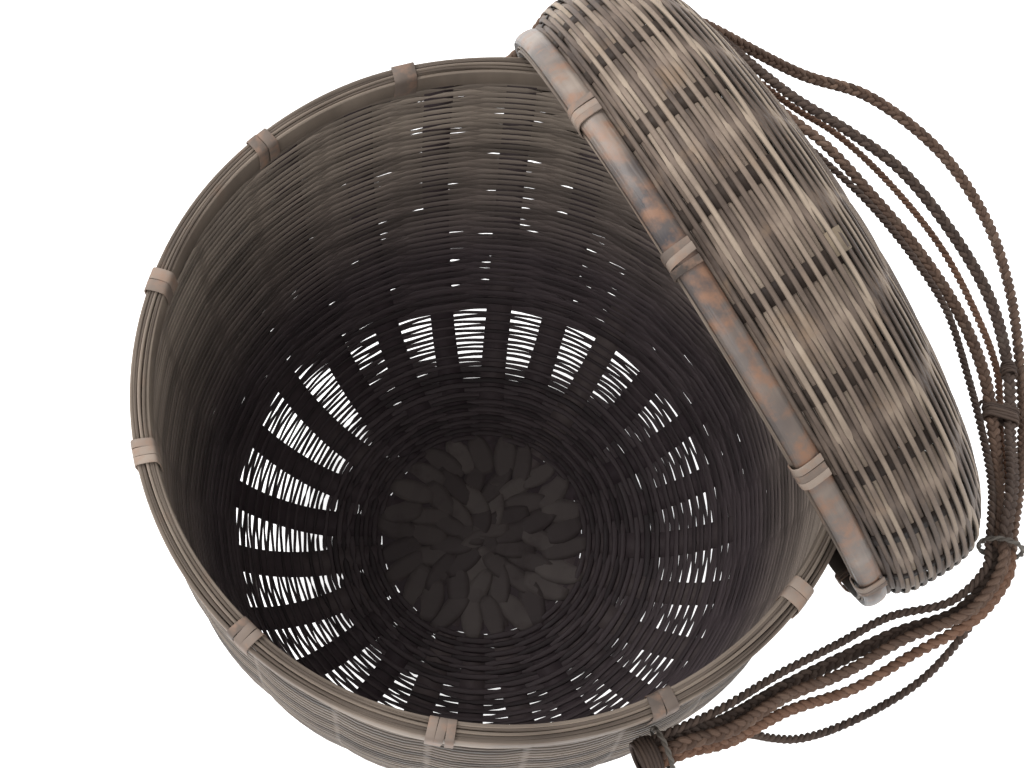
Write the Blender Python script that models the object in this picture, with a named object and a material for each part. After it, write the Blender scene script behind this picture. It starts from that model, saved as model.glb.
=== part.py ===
# Covered storage basket of woven cane, with its lid hooked over the rim and its plaited carrying cords.
# Metres, +Z up. The origin is at the centre of the basket's base, on the surface that it stands on.

import math

import bmesh
import bpy
from mathutils import Matrix, Vector

# Driving dimensions of the basket
MOUTH_RADIUS = 0.199
BASKET_HEIGHT = 0.3340
WEAVE_THICKNESS = 0.0024
WEAVE_RELIEF = 0.0011
STAKE_THICKNESS = 0.0012
STAKE_WIDTH = 0.019
HUB_RADIUS = 0.074
OUTER_HOOP_THICKNESS = 0.0030
INNER_HOOP_THICKNESS = 0.0027
HOOP_HEIGHT = 0.0140
HOOP_RISE = 0.0040
COLLAR_THICKNESS = 0.0015
COLLAR_HEIGHT = 0.0130
BINDING_THICKNESS = 0.0009
BINDING_LENGTH = 0.0140
BINDING_DROP = 0.0165

# Driving dimensions of the lid
LID_RADIUS = 0.199
LID_DEPTH = 0.1145
LID_STAKE_THICKNESS = 0.0010
LID_STAKE_WIDTH = 0.015
LID_HUB_RADIUS = 0.040
LID_BAND_THICKNESS = 0.0032
LID_BAND_WIDTH = 0.0145
LID_HOOP_THICKNESS = 0.0020
LID_HOOP_PROUD = 0.0012
LID_MARGIN = 0.0006
LID_BINDING_LENGTH = 0.0140
LID_BINDING_SEAT = 0.0006

# How the lid hangs on the rim: the centre of its mouth, and where its closed side points
LID_OFF_AXIS = 0.1295
LID_OFF_FLOOR = 0.2623
LID_OFF_ANGLE = math.radians(35.37)
LID_AZIMUTH = math.radians(35.77)
LID_ELEVATION = math.radians(18.43)

# Cord guides and cords
GUIDE_RADIUS = 0.0117
GUIDE_CANE_RADIUS = 0.0015
LUG_HEIGHT = 0.285
LUG_AZIMUTH = math.radians(-60)
WHIPPING_RADIUS = 0.0110
WHIPPING_LENGTH = 0.0120
THICK_CORD = 0.0062
THIN_CORD = 0.0042
KNOT_WALL = 0.0014
KNOT_LENGTH = 0.0110
KNOT_CLEARANCE = 0.0011
LASHING_WALL = 0.0013
LASHING_LENGTH = 0.0110
LASHING_CLEARANCE = 0.0004

# Clearance between pieces that touch, and where faces meet end to end
GAP = 0.0003

# Counts
STAKES = 24
RING_STEPS = 2 * STAKES
GUIDE_STEPS = 16
GUIDE_SIDES = 6

# Angles
STAKE_PHASE = math.radians(3.5)
RIM_BINDING_DEGREES = [-32.0, -59.2, -92.1, -124.5, -157.7, 173.1, 142.5, 114.6, 85.8, 57.1, 28.4, -0.4]
LID_BINDING_AZIMUTHS = [math.radians(turn) for turn in (-20, 8, 44, 76, 116, 156, -164, -128, -92)]

# The basket's outside from the middle of the base to below the rim, as shares of mouth radius and height
BASE_SHARES = [(0.382, 0.0), (0.593, 0.0), (0.678, 0.018)]
SHOULDER_SHARES = [(0.779, 0.066), (0.864, 0.138)]
WALL_SHARES = [(0.935, 0.240), (0.985, 0.374), (1.010, 0.524), (1.015, 0.659), (1.001, 0.808), (0.986, 0.930)]
# The lid's outside from above its band to its crown, as shares of its radius and depth
LID_SIDE_SHARES = [(1.014, 0.197), (1.021, 0.367), (1.014, 0.541), (0.992, 0.624)]
LID_TOP_SHARES = [(0.897, 0.746), (0.789, 0.809), (0.673, 0.853), (0.523, 0.904), (0.286, 0.961), (0.0, 1.0)]
# Where the ring on the lid's shoulder sits, and the share of a stake's pitch that its width may fill
RING_SEAT_SHARES = (0.9975, 0.6157)
STAKE_FILL_SHARE = 0.70
# The sharpest mitre that an offset profile may take, and how close points are merged, as a share of the gap
MITRE_SHARE = 0.70
MERGE_SHARE = 0.001
RING_MATCH_SHARE = 0.1
# Directions in the lid's own axes: out of the shoulder, and through the ring
RING_OUTWARD = Vector((0.0, -0.661, 0.751))
RING_THROUGH = Vector((0.358, 0.701, 0.617))
# Where the knot and the lashing sit along the second handle cord
KNOT_SHARE = 0.225
LASHING_SHARE = 0.285

# Routes of the cords, in millimetres: lug to ring on the near side, ring to ring behind the lid, and the far side
MM = 0.001
NEAR_ROUTES = [
    (THIN_CORD, [(103, -178, 288), (115, -171, 288), (139, -156, 280), (172, -131, 270), (204, -110, 269),
                 (231, -92, 272), (263, -81, 284), (279, -61.6, 290.1), (281.5, -47.6, 288.8)]),
    (THICK_CORD, [(105, -181, 283), (117, -174, 283), (141, -162, 275), (176, -137, 262), (209, -116, 261),
                  (238, -99, 266), (269, -85, 278), (284.7, -62.6, 286.6), (287.2, -48.6, 285.2)]),
    (THICK_CORD, [(107, -185, 290), (119, -178, 290), (144, -167, 283), (176, -143, 271), (209, -125, 269),
                  (239, -104, 273), (272, -86, 290), (287.5, -62, 294.3), (289, -48, 293.1)]),
    (THICK_CORD, [(109, -188, 283), (121, -181, 283), (146, -171, 273), (181, -148, 257), (217, -131, 253),
                  (248, -109, 260), (277, -88, 283), (292, -63.2, 288.9), (294.4, -49.2, 286.6)]),
    (THIN_CORD, [(107, -185, 278), (120, -177, 278), (144, -166, 267), (191, -160, 241), (228, -142, 235),
                 (261, -117, 243), (280, -88, 266), (289.3, -63.8, 282.1), (291.7, -49.7, 280.8)]),
]
HANDLE_ROUTES = [
    (THICK_CORD, [(294.4, -49.2, 286.6), (296.7, -36.2, 284.3), (305, -9, 272), (320, 42, 246), (325, 89, 230),
                  (324, 152, 217), (311, 206, 211), (279, 255, 211), (226, 285, 221), (174, 287, 234),
                  (94, 291, 272), (61, 290.6, 284.4), (47.1, 293.2, 286.6)]),
    (THICK_CORD, [(289, -48, 293.1), (291.3, -34, 290.8), (299, -7, 280), (309, 37, 252), (314, 85, 238),
                  (307, 135, 229), (285, 182, 224), (247, 228, 225), (207, 250, 231), (170, 263, 240),
                  (93, 283, 281), (60.8, 286, 290.8), (46.9, 288.7, 293)]),
    (THICK_CORD, [(287.2, -48.6, 285.2), (288.5, -34.7, 283.1), (295, -8, 270), (299, 35, 252), (297, 78, 242),
                  (284, 123, 233), (260, 165, 228), (225, 205, 229), (194, 232, 235), (164, 248, 242),
                  (91, 280, 269), (59.1, 283.4, 283.1), (46.1, 286.1, 285.2)]),
    (THIN_CORD, [(291.7, -49.7, 280.8), (294.1, -36.8, 278.6), (303, -10, 264), (308, 43, 239), (311, 88, 227),
                 (300, 136, 216), (279, 183, 210), (241, 228, 211), (204, 254, 218), (171, 265, 227),
                 (92, 288, 264), (59.4, 289.1, 278.6), (45.5, 290.8, 280.9)]),
    (THIN_CORD, [(281.5, -47.6, 288.8), (283.8, -33.6, 286.5), (289, -6, 274), (289, 31, 260), (283, 71, 252),
                 (272, 117, 245), (252, 152, 242), (222, 188, 242), (187, 216, 246), (156, 235, 252),
                 (90, 272, 274), (58.6, 278.6, 286.5), (45.7, 280.3, 288.7)]),
]
FAR_ROUTES = [
    (THICK_CORD, [(-105, 181, 283), (-93, 188, 283), (-65, 205, 262), (-36, 232, 241), (-8, 262, 245),
                  (9, 278, 269), (31.2, 287.6, 286.7), (46.1, 286.1, 285.2)]),
    (THICK_CORD, [(-107, 185, 290), (-95, 192, 290), (-65, 212, 270), (-39, 237, 250), (-16, 263, 252),
                  (2, 279, 279), (33, 291.3, 295.3), (46.9, 288.7, 293)]),
    (THICK_CORD, [(-109, 188, 283), (-96, 195, 283), (-71, 214, 261), (-42, 240, 241), (-15, 271, 244),
                  (4, 287, 271), (33.1, 296.9, 288.8), (47.1, 293.2, 286.6)]),
]

COLOURS = {
    "stake": (0.060, 0.048, 0.042),
    "inner_weave": (0.075, 0.062, 0.054),
    "weave": (0.20, 0.165, 0.135),
    "hoop": (0.26, 0.215, 0.175),
    "binding": (0.34, 0.27, 0.22),
    "lid_weave": (0.33, 0.28, 0.235),
    "lid_band": (0.40, 0.32, 0.27),
    "ring": (0.30, 0.27, 0.24),
    "cord": (0.16, 0.095, 0.068),
    "knot": (0.05, 0.032, 0.026),
}
ROUGHNESS = 0.72


def clear_scene():
    for obj in list(bpy.data.objects):
        bpy.data.objects.remove(obj, do_unlink=True)


def finished(obj, colour):
    material = bpy.data.materials.new(obj.name)
    material.use_nodes = True
    shader = material.node_tree.nodes["Principled BSDF"]
    shader.inputs["Base Color"].default_value = (*COLOURS[colour], 1)
    shader.inputs["Roughness"].default_value = ROUGHNESS
    shader.inputs["Metallic"].default_value = 0
    obj.data.materials.append(material)
    return obj


def mesh_object(name, bm, colour, parent=None, smooth_angle=math.radians(35)):
    bmesh.ops.recalc_face_normals(bm, faces=bm.faces)
    mesh = bpy.data.meshes.new(name)
    bm.to_mesh(mesh)
    bm.free()
    mesh.shade_smooth()
    mesh.set_sharp_from_angle(angle=smooth_angle)
    obj = bpy.data.objects.new(name, mesh)
    bpy.context.scene.collection.objects.link(obj)
    obj.parent = parent
    return finished(obj, colour)


# A ring's corners stand a little outside its true circle, so that the middle of each flat lies on it
def corner(radius):
    return radius / math.cos(math.pi / RING_STEPS)


def turned(name, outline, colour, parent=None, fluted=()):
    """Turns a closed outline of (radius, height) points round the Z axis, some of its rings drawn in between stakes."""
    bm = bmesh.new()
    start = STAKE_PHASE + math.pi / RING_STEPS
    points = [(corner(r) * math.cos(start), corner(r) * math.sin(start), z) for r, z in outline]
    verts = [bm.verts.new(point) for point in points]
    on_axis = outline[0][0] == 0 and outline[-1][0] == 0
    pairs = zip(verts, verts[1:] if on_axis else verts[1:] + verts[:1])
    edges = [bm.edges.new(pair) for pair in pairs]
    bmesh.ops.spin(bm, geom=verts + edges, cent=(0, 0, 0), axis=(0, 0, 1), angle=2 * math.pi,
                   steps=RING_STEPS, use_merge=True)
    if on_axis:
        bmesh.ops.remove_doubles(bm, verts=bm.verts, dist=GAP * MERGE_SHARE)
    flute(bm, fluted)
    return mesh_object(name, bm, colour, parent)


def flute(bm, rings):
    """Halves the flats between the stakes, on each ring, and draws their middles in by the weave's relief."""
    pitch = 2 * math.pi / STAKES
    near = GAP * RING_MATCH_SHARE

    def on_ring(vert, ring):
        (radius, height), _ = ring
        return abs(vert.co.z - height) < near and abs(vert.co.xy.length - corner(radius)) < near

    def between_stakes(edge):
        middle = (edge.verts[0].co + edge.verts[1].co) / 2
        return abs((math.atan2(middle.y, middle.x) - STAKE_PHASE) / pitch % 1 - 1 / 2) < 1 / 4

    edges = [edge for edge in bm.edges for ring in rings
             if all(on_ring(vert, ring) for vert in edge.verts) and between_stakes(edge)]
    if not edges:
        return
    halved = bmesh.ops.subdivide_edges(bm, edges=edges, cuts=1)["geom_inner"]
    for vert in [item for item in halved if isinstance(item, bmesh.types.BMVert)]:
        _, (outward, upward) = min(rings, key=lambda ring: abs(ring[0][1] - vert.co.z))
        radial = Vector((vert.co.x, vert.co.y, 0)).normalized()
        vert.co -= (radial * outward + Vector((0, 0, upward))) * WEAVE_RELIEF


def offset(path, depth):
    """The path moved to its left by the depth, with mitred corners."""
    moved = []
    for index, point in enumerate(path):
        here = Vector(point)
        before = (here - Vector(path[index - 1])).normalized() if index else None
        after = (Vector(path[index + 1]) - here).normalized() if index + 1 < len(path) else None
        before = before or after
        after = after or before
        left = Vector((-before.y - after.y, before.x + after.x)).normalized()
        stretch = 1 / max(left.dot(Vector((-after.y, after.x))), MITRE_SHARE)
        moved.append(tuple(here + left * depth * stretch))
    return moved


def shortened(path, start, end):
    """The path with its first and last points drawn in along it."""
    first, second = Vector(path[0]), Vector(path[1])
    last, previous = Vector(path[-1]), Vector(path[-2])
    return [
        tuple(first + (second - first).normalized() * start),
        *path[1:-1],
        tuple(last + (previous - last).normalized() * end),
    ]


def shell(name, path, first, last, colour, parent=None, relief_from=None):
    """A woven skin: a stretch of the path turned round the axis, the weave's thickness lying inside it.
    From one of its points on, it stands prouder over the stakes than between them."""
    start = GAP / 2 if first else 0.0
    end = GAP / 2 if last + 1 < len(path) else 0.0
    outer = shortened(path[first:last + 1], start, end)
    inner = shortened(offset(path, WEAVE_THICKNESS)[first:last + 1], start, end)
    fluted = []
    if relief_from is not None:
        for point, under in list(zip(outer, inner))[relief_from - first:-1]:
            fluted.append((point, (Vector(point) - Vector(under)).normalized()))
    if outer[-1][0] == 0:
        inner[-1] = (0.0, inner[-1][1])
        return turned(name, list(reversed(inner)) + outer, colour, parent, fluted)
    return turned(name, outer + list(reversed(inner)), colour, parent, fluted)


def band(name, outer, thickness, low, high, colour, parent=None, crown=0.0):
    """A hoop of flat splint, its outer face crowned where it is half round."""
    middle = (low + high) / 2
    inner = outer - thickness
    face = [(outer, low), (outer, high)]
    if crown:
        face = [(outer - crown, low), (outer, middle - (high - low) / 4), (outer, middle + (high - low) / 4),
                (outer - crown, high)]
    return turned(name, face + [(inner, high), (inner, low)], colour, parent)


def cane_hoop(name, radius, height, cane, colour):
    """A round cane laid in a ring."""
    section = [(radius + cane, height), (radius, height + cane), (radius - cane, height), (radius, height - cane)]
    return turned(name, section, colour)


def saddle(name, outer, inner, low, high, thickness, azimuth, length, colour, parent=None):
    """A cane binding: an upturned U over the hoops, swept a short way round them."""
    half = length / outer / 2
    corner_cut = thickness / 2
    outline = [(outer, low), (outer, high - corner_cut), (outer - corner_cut, high), (inner + corner_cut, high),
               (inner, high - corner_cut), (inner, low), (inner + thickness, low), (inner + thickness, high - thickness),
               (outer - thickness, high - thickness), (outer - thickness, low)]
    bm = bmesh.new()
    rings = []
    for share in (-1, 0, 1):
        turn = azimuth + share * half
        rings.append([bm.verts.new((r * math.cos(turn), r * math.sin(turn), z)) for r, z in outline])
    for loop in rings:
        for pair in zip(loop, loop[1:] + loop[:1]):
            bm.edges.new(pair)
    for here, there in zip(rings, rings[1:]):
        edges = [bm.edges.get(pair) for loop in (here, there) for pair in zip(loop, loop[1:] + loop[:1])]
        bmesh.ops.bridge_loops(bm, edges=edges)
    bm.faces.new(rings[0])
    bm.faces.new(rings[-1])
    return mesh_object(name, bm, colour, parent)


def stake_star(name, path, hub, thickness, width, colour, parent=None):
    """Flat stakes crossing in one hub and bent along the path, from the hub outward."""
    bm = bmesh.new()
    pitch = 2 * math.pi / STAKES

    def edge_points(index, point):
        radius, height = point
        half = min(width, STAKE_FILL_SHARE * pitch * max(radius, hub)) / 2
        turn = STAKE_PHASE + index * pitch
        along = Vector((math.cos(turn), math.sin(turn), 0))
        across = Vector((-along.y, along.x, 0))
        return [along * radius + across * side * half + Vector((0, 0, height)) for side in (-1, 1)]

    roots = [[bm.verts.new(p) for p in edge_points(i, path[0])] for i in range(STAKES)]
    bm.faces.new([vert for pair in roots for vert in pair])
    for index, pair in enumerate(roots):
        edge = bm.edges.get(pair)
        for point in path[1:]:
            grown = bmesh.ops.extrude_edge_only(bm, edges=[edge])["geom"]
            edge = next(item for item in grown if isinstance(item, bmesh.types.BMEdge))
            targets = edge_points(index, point)
            along = (targets[1] - targets[0]).normalized()
            ends = sorted(edge.verts, key=lambda vert: vert.co.dot(along))
            for vert, target in zip(ends, targets):
                vert.co = target
    obj = mesh_object(name, bm, colour, parent)
    if obj.data.polygons[0].normal.z < 0:
        obj.data.flip_normals()
    solid = obj.modifiers.new("thickness", "SOLIDIFY")
    solid.thickness = thickness
    solid.offset = 1
    solid.use_even_offset = True
    return obj


def ring(name, centre, normal, radius, cane, colour, parent=None):
    """A small ring of wrapped cane that cords pass through."""
    bm = bmesh.new()
    section = [(radius + cane * math.cos(turn), 0, cane * math.sin(turn))
               for turn in (2 * math.pi * k / GUIDE_SIDES for k in range(GUIDE_SIDES))]
    verts = [bm.verts.new(point) for point in section]
    edges = [bm.edges.new(pair) for pair in zip(verts, verts[1:] + verts[:1])]
    bmesh.ops.spin(bm, geom=verts + edges, cent=(0, 0, 0), axis=(0, 0, 1), angle=2 * math.pi,
                   steps=GUIDE_STEPS, use_merge=True)
    turn = Vector((0, 0, 1)).rotation_difference(normal).to_matrix().to_4x4()
    bmesh.ops.transform(bm, matrix=Matrix.Translation(centre) @ turn, verts=bm.verts)
    return mesh_object(name, bm, colour, parent)


def barrel(name, start, direction, radius, length, colour):
    """A whipping: a short rounded barrel of wound cord."""
    bm = bmesh.new()
    bmesh.ops.create_cone(bm, cap_ends=True, segments=GUIDE_STEPS, radius1=radius, radius2=radius, depth=length)
    rims = [edge for edge in bm.edges if edge.verts[0].co.z * edge.verts[1].co.z > 0]
    bmesh.ops.bevel(bm, geom=rims, offset=length / 4, offset_type="OFFSET", segments=1, profile=0.5,
                    affect="EDGES", material=-1)
    turn = Vector((0, 0, 1)).rotation_difference(direction).to_matrix().to_4x4()
    middle = start + direction * length / 2
    bmesh.ops.transform(bm, matrix=Matrix.Translation(middle) @ turn, verts=bm.verts)
    return mesh_object(name, bm, colour)


def sleeve(name, centre, along, across, half_span, bore, wall, length, colour):
    """A wrapping round one cord, or round two that lie side by side across it."""
    bm = bmesh.new()
    along = along.normalized()
    across = (across - along * across.dot(along)).normalized()
    third = along.cross(across)
    last = GUIDE_SIDES + 1 if half_span else GUIDE_SIDES

    def loop(radius, share):
        found = []
        for side in (1, -1):
            for k in range(last):
                turn = math.pi * (k / GUIDE_SIDES - 0.5)
                found.append(centre + along * length * share
                             + across * side * (half_span + radius * math.cos(turn))
                             + third * side * radius * math.sin(turn))
        return found

    here = loop(bore + wall, -0.5)
    verts = [bm.verts.new(point) for point in here]
    edges = [bm.edges.new(pair) for pair in zip(verts, verts[1:] + verts[:1])]
    for there in (loop(bore + wall, 0.5), loop(bore, 0.5), loop(bore, -0.5), loop(bore + wall, -0.5)):
        grown = bmesh.ops.extrude_edge_only(bm, edges=edges)["geom"]
        edges = [item for item in grown if isinstance(item, bmesh.types.BMEdge)]
        for vert in (item for item in grown if isinstance(item, bmesh.types.BMVert)):
            index = min(range(len(here)), key=lambda i: (here[i] - vert.co).length)
            vert.co = there[index]
        here = there
    bmesh.ops.remove_doubles(bm, verts=bm.verts, dist=GAP * MERGE_SHARE)
    return mesh_object(name, bm, colour)


def smooth_points(points, spacing, stub):
    """Points at an even spacing along a smooth curve, and straight stubs that end half a gap short at both ends."""
    ends = points[0], (points[1] - points[0]).normalized(), points[-1], (points[-2] - points[-1]).normalized()
    points = [2 * points[0] - points[1], *points, 2 * points[-1] - points[-2]]
    fine = []
    fineness = 24
    for before, here, there, after in zip(points, points[1:], points[2:], points[3:]):
        knots = [0.0]
        for a, b in ((before, here), (here, there), (there, after)):
            knots.append(knots[-1] + math.sqrt((b - a).length))
        for k in range(fineness):
            t = knots[1] + (knots[2] - knots[1]) * k / fineness
            level = [before, here, there, after]
            for order in (1, 2, 3):
                lowest = 1 if order == 3 else 0
                level = [
                    level[i].lerp(level[i + 1], blend(t, knots, i, order, lowest))
                    for i in range(len(level) - 1)
                ]
            fine.append(level[0])
    fine.append(points[-2])
    lengths = [0.0]
    for a, b in zip(fine, fine[1:]):
        lengths.append(lengths[-1] + (b - a).length)
    free = lengths[-1] - 2 * stub
    count = max(4, round(free / spacing))
    found = [ends[0] + ends[1] * GAP / 2, ends[0] + ends[1] * stub]
    index = 0
    for k in range(1, count):
        length = stub + free * k / count
        while lengths[index + 1] < length:
            index += 1
        share = (length - lengths[index]) / (lengths[index + 1] - lengths[index])
        found.append(fine[index].lerp(fine[index + 1], share))
    return [*found, ends[2] + ends[3] * stub, ends[2] + ends[3] * GAP / 2]


def blend(t, knots, i, order, lowest):
    """How far t lies between the knots that one step of the smooth curve joins."""
    if order == 1:
        low, high = knots[i], knots[i + 1]
    elif order == 2:
        low, high = knots[i], knots[i + 2]
    else:
        low, high = knots[lowest], knots[lowest + 1]
    return (t - low) / (high - low)


def cord(name, diameter, route, start, end, lug=None):
    """A cord along its route, leaving square to the ring or lug at its start and arriving so at its end."""
    places = [Vector(point) * MM for point in route]
    if lug:
        places[0] += start * (lug_centre(lug) - places[0]).dot(start)
    places[1] = places[0] + start * (places[1] - places[0]).length
    places[-2] = places[-1] - end * (places[-1] - places[-2]).length
    points = smooth_points(places, 3 * diameter, diameter)
    curve = bpy.data.curves.new(name, "CURVE")
    curve.dimensions = "3D"
    curve.bevel_depth = diameter / 2
    curve.bevel_resolution = 2
    curve.use_fill_caps = True
    spline = curve.splines.new("POLY")
    spline.points.add(len(points) - 1)
    for place, point in zip(spline.points, points):
        place.co = (*point, 1)
    obj = bpy.data.objects.new(name, curve)
    bpy.context.scene.collection.objects.link(obj)
    finished(obj, "cord")
    return points


def basket_profile():
    shares = BASE_SHARES + SHOULDER_SHARES + WALL_SHARES
    path = [(r * MOUTH_RADIUS, z * BASKET_HEIGHT) for r, z in shares]
    rim = MOUTH_RADIUS - OUTER_HOOP_THICKNESS - GAP
    return path + [(rim, BASKET_HEIGHT - HOOP_HEIGHT), (rim, BASKET_HEIGHT)]


def build_body():
    path = basket_profile()
    base_end = len(BASE_SHARES) - 1
    shoulder_end = base_end + len(SHOULDER_SHARES)
    shell("base_weave", path, 0, base_end, "inner_weave")
    shell("shoulder_weave", path, base_end, shoulder_end, "inner_weave")
    shell("wall_weave", path, shoulder_end, len(path) - 1, "weave", relief_from=shoulder_end + 1)
    centre_radius = path[0][0] - GAP
    turned("base_centre", [(0, 0), (centre_radius, 0), (centre_radius, WEAVE_THICKNESS), (0, WEAVE_THICKNESS)],
           "stake")
    inside = offset(path, WEAVE_THICKNESS + GAP)
    stakes = [(HUB_RADIUS, inside[0][1])] + inside[1:]
    stake_star("basket_stakes", stakes, HUB_RADIUS, STAKE_THICKNESS, STAKE_WIDTH, "stake")


def build_rim():
    low = BASKET_HEIGHT - HOOP_HEIGHT + HOOP_RISE
    high = BASKET_HEIGHT + HOOP_RISE
    weave_inner = MOUTH_RADIUS - OUTER_HOOP_THICKNESS - GAP - WEAVE_THICKNESS
    hoop_outer = weave_inner - GAP - STAKE_THICKNESS - GAP
    band("outer_hoop", MOUTH_RADIUS, OUTER_HOOP_THICKNESS, low, high, "hoop", crown=OUTER_HOOP_THICKNESS / 4)
    band("inner_hoop", hoop_outer, INNER_HOOP_THICKNESS, low, high, "hoop")
    collar_top = low - GAP
    collar_outer = MOUTH_RADIUS - OUTER_HOOP_THICKNESS + COLLAR_THICKNESS
    build_collar(collar_outer, collar_top)
    groove_outer = MOUTH_RADIUS - OUTER_HOOP_THICKNESS
    cane = (groove_outer - hoop_outer - 3 * GAP) / 4
    cane_height = BASKET_HEIGHT + GAP + cane
    cane_hoop("outer_filler_cane", groove_outer - GAP - cane, cane_height, cane, "hoop")
    cane_hoop("inner_filler_cane", hoop_outer + GAP + cane, cane_height, cane, "hoop")
    inner_face = (hoop_outer - INNER_HOOP_THICKNESS) - GAP - BINDING_THICKNESS
    outer_face = corner(MOUTH_RADIUS) + GAP + BINDING_THICKNESS
    top = high + GAP + BINDING_THICKNESS
    for index, degrees in enumerate(RIM_BINDING_DEGREES):
        saddle(f"rim_binding_{index + 1}", outer_face, inner_face, top - BINDING_DROP, top, BINDING_THICKNESS,
               math.radians(degrees), BINDING_LENGTH, "binding")


def build_collar(outer, top):
    """The smooth splint under the rim lies against the wall, which leans out a little below it."""
    bottom = top - COLLAR_HEIGHT
    path = basket_profile()
    lean = [wall_radius(path, z) + GAP for z in (bottom, BASKET_HEIGHT - HOOP_HEIGHT, top)]
    heights = (bottom, BASKET_HEIGHT - HOOP_HEIGHT, top)
    inner = list(zip(lean, heights))
    outside = [(max(outer, radius + COLLAR_THICKNESS), z) for radius, z in inner]
    turned("rim_collar", outside + list(reversed(inner)), "hoop")


def wall_radius(path, height):
    """The radius of the wall's outside at a height."""
    for (r0, z0), (r1, z1) in zip(path, path[1:]):
        if z0 <= height <= z1 and z1 > z0:
            return r0 + (r1 - r0) * (height - z0) / (z1 - z0)
    return path[-1][0]


def lid_frame():
    """The lid's own axes: Z from its mouth to its crown, -X uphill, -Y toward the near ring."""
    frame = bpy.data.objects.new("lid_frame", None)
    bpy.context.scene.collection.objects.link(frame)
    frame.location = (LID_OFF_AXIS * math.cos(LID_OFF_ANGLE), LID_OFF_AXIS * math.sin(LID_OFF_ANGLE), LID_OFF_FLOOR)
    frame.rotation_euler = lid_turn().to_euler()
    return frame


def lid_turn():
    return Matrix.Rotation(LID_AZIMUTH, 3, "Z") @ Matrix.Rotation(math.pi / 2 - LID_ELEVATION, 3, "Y")


def build_lid(frame):
    rim = LID_RADIUS - LID_BAND_THICKNESS - GAP
    path = [(rim, LID_MARGIN), (rim, LID_BAND_WIDTH + LID_MARGIN)]
    side = [(r * LID_RADIUS, z * LID_DEPTH) for r, z in LID_SIDE_SHARES]
    top = [(r * LID_RADIUS, z * LID_DEPTH) for r, z in LID_TOP_SHARES]
    shoulder = len(path) + len(side) - 1
    path = path + side + top
    shell("lid_side_weave", path, 0, shoulder, "lid_weave", frame, relief_from=shoulder - len(side) + 1)
    shell("lid_top_weave", path, shoulder, len(path) - 1, "lid_weave", frame, relief_from=shoulder + 1)
    inside = offset(path, WEAVE_THICKNESS + GAP)
    hub_height = hub_level(inside, LID_HUB_RADIUS)
    arms = [point for point in reversed(inside) if point[0] > LID_HUB_RADIUS]
    stake_star("lid_stakes", [(LID_HUB_RADIUS, hub_height)] + arms, LID_HUB_RADIUS, -LID_STAKE_THICKNESS,
               LID_STAKE_WIDTH, "stake", frame)
    band("lid_band", LID_RADIUS, LID_BAND_THICKNESS, 0, LID_BAND_WIDTH, "lid_band", frame,
         crown=LID_BAND_THICKNESS / 3)
    hoop = rim - WEAVE_THICKNESS - GAP - LID_STAKE_THICKNESS - GAP
    band("lid_inner_hoop", hoop, LID_HOOP_THICKNESS, -LID_HOOP_PROUD, LID_BAND_WIDTH - LID_HOOP_PROUD, "hoop", frame)
    build_lid_bindings(frame, hoop - LID_HOOP_THICKNESS)


def hub_level(path, radius):
    """The height of a falling path where it passes a radius."""
    for (r0, z0), (r1, z1) in zip(path, path[1:]):
        if r1 <= radius <= r0:
            return z0 + (z1 - z0) * (r0 - radius) / (r0 - r1)
    return path[-1][1]


def build_lid_bindings(frame, hoop_inner):
    """Bindings over the lid's band, open toward the crown, so they are swept upside down."""
    outer = corner(LID_RADIUS) + GAP + BINDING_THICKNESS
    inner = hoop_inner - GAP - BINDING_THICKNESS
    low = -LID_HOOP_PROUD - GAP - BINDING_THICKNESS
    for index, turn in enumerate(LID_BINDING_AZIMUTHS):
        azimuth = math.pi + turn
        binding = saddle(f"lid_binding_{index + 1}", outer, inner, -LID_BAND_WIDTH, -low, BINDING_THICKNESS,
                         -azimuth, LID_BINDING_LENGTH, "binding")
        binding.data.transform(Matrix.Rotation(math.pi, 4, "X"))
        binding.parent = frame


def build_guides(frame):
    """The rings on the lid's shoulder and the lugs on the wall, that the cords run through."""
    seat_radius, seat_height = RING_SEAT_SHARES
    reach = GUIDE_RADIUS + GUIDE_CANE_RADIUS + GAP
    for name, side in (("near_lid_ring", 1), ("far_lid_ring", -1)):
        flip = Vector((1, side, 1))
        seat = Vector((0, -seat_radius * LID_RADIUS * side, seat_height * LID_DEPTH))
        outward = (RING_OUTWARD * flip).normalized()
        ring(name, seat + outward * reach, ring_through(side), GUIDE_RADIUS, GUIDE_CANE_RADIUS, "ring", frame)
    along = lug_direction()
    for name in ("near", "far"):
        centre = lug_centre(name)
        clear = GUIDE_CANE_RADIUS + GAP
        ring(f"{name}_lug", centre + along * (clear + GUIDE_CANE_RADIUS), along, GUIDE_RADIUS,
             GUIDE_CANE_RADIUS, "ring")
        barrel(f"{name}_lug_whipping", centre - along * GAP / 2, -along, WHIPPING_RADIUS, WHIPPING_LENGTH, "knot")


def ring_through(side):
    """The way that a ring faces in the lid's axes: side is 1 for the near ring and -1 for the far one."""
    return (RING_THROUGH * Vector((1, side, 1))).normalized()


def lug_direction():
    """The way that the cords leave the lugs, along the wall toward the lid."""
    return Vector((-math.sin(LUG_AZIMUTH), math.cos(LUG_AZIMUTH), 0))


def lug_centre(name):
    """The middle of the bundle of cords where it leaves its whipping."""
    turn = LUG_AZIMUTH + (0 if name == "near" else math.pi)
    reach = GUIDE_RADIUS + GUIDE_CANE_RADIUS + GAP
    radius = corner(wall_radius(basket_profile(), LUG_HEIGHT)) + reach
    return Vector((radius * math.cos(turn), radius * math.sin(turn), LUG_HEIGHT))


def along_cord(points, share):
    """The middle of the stretch of a cord that a share of its length falls on, and its direction."""
    index = int(share * (len(points) - 1))
    return (points[index] + points[index + 1]) / 2, points[index + 1] - points[index]


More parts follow.
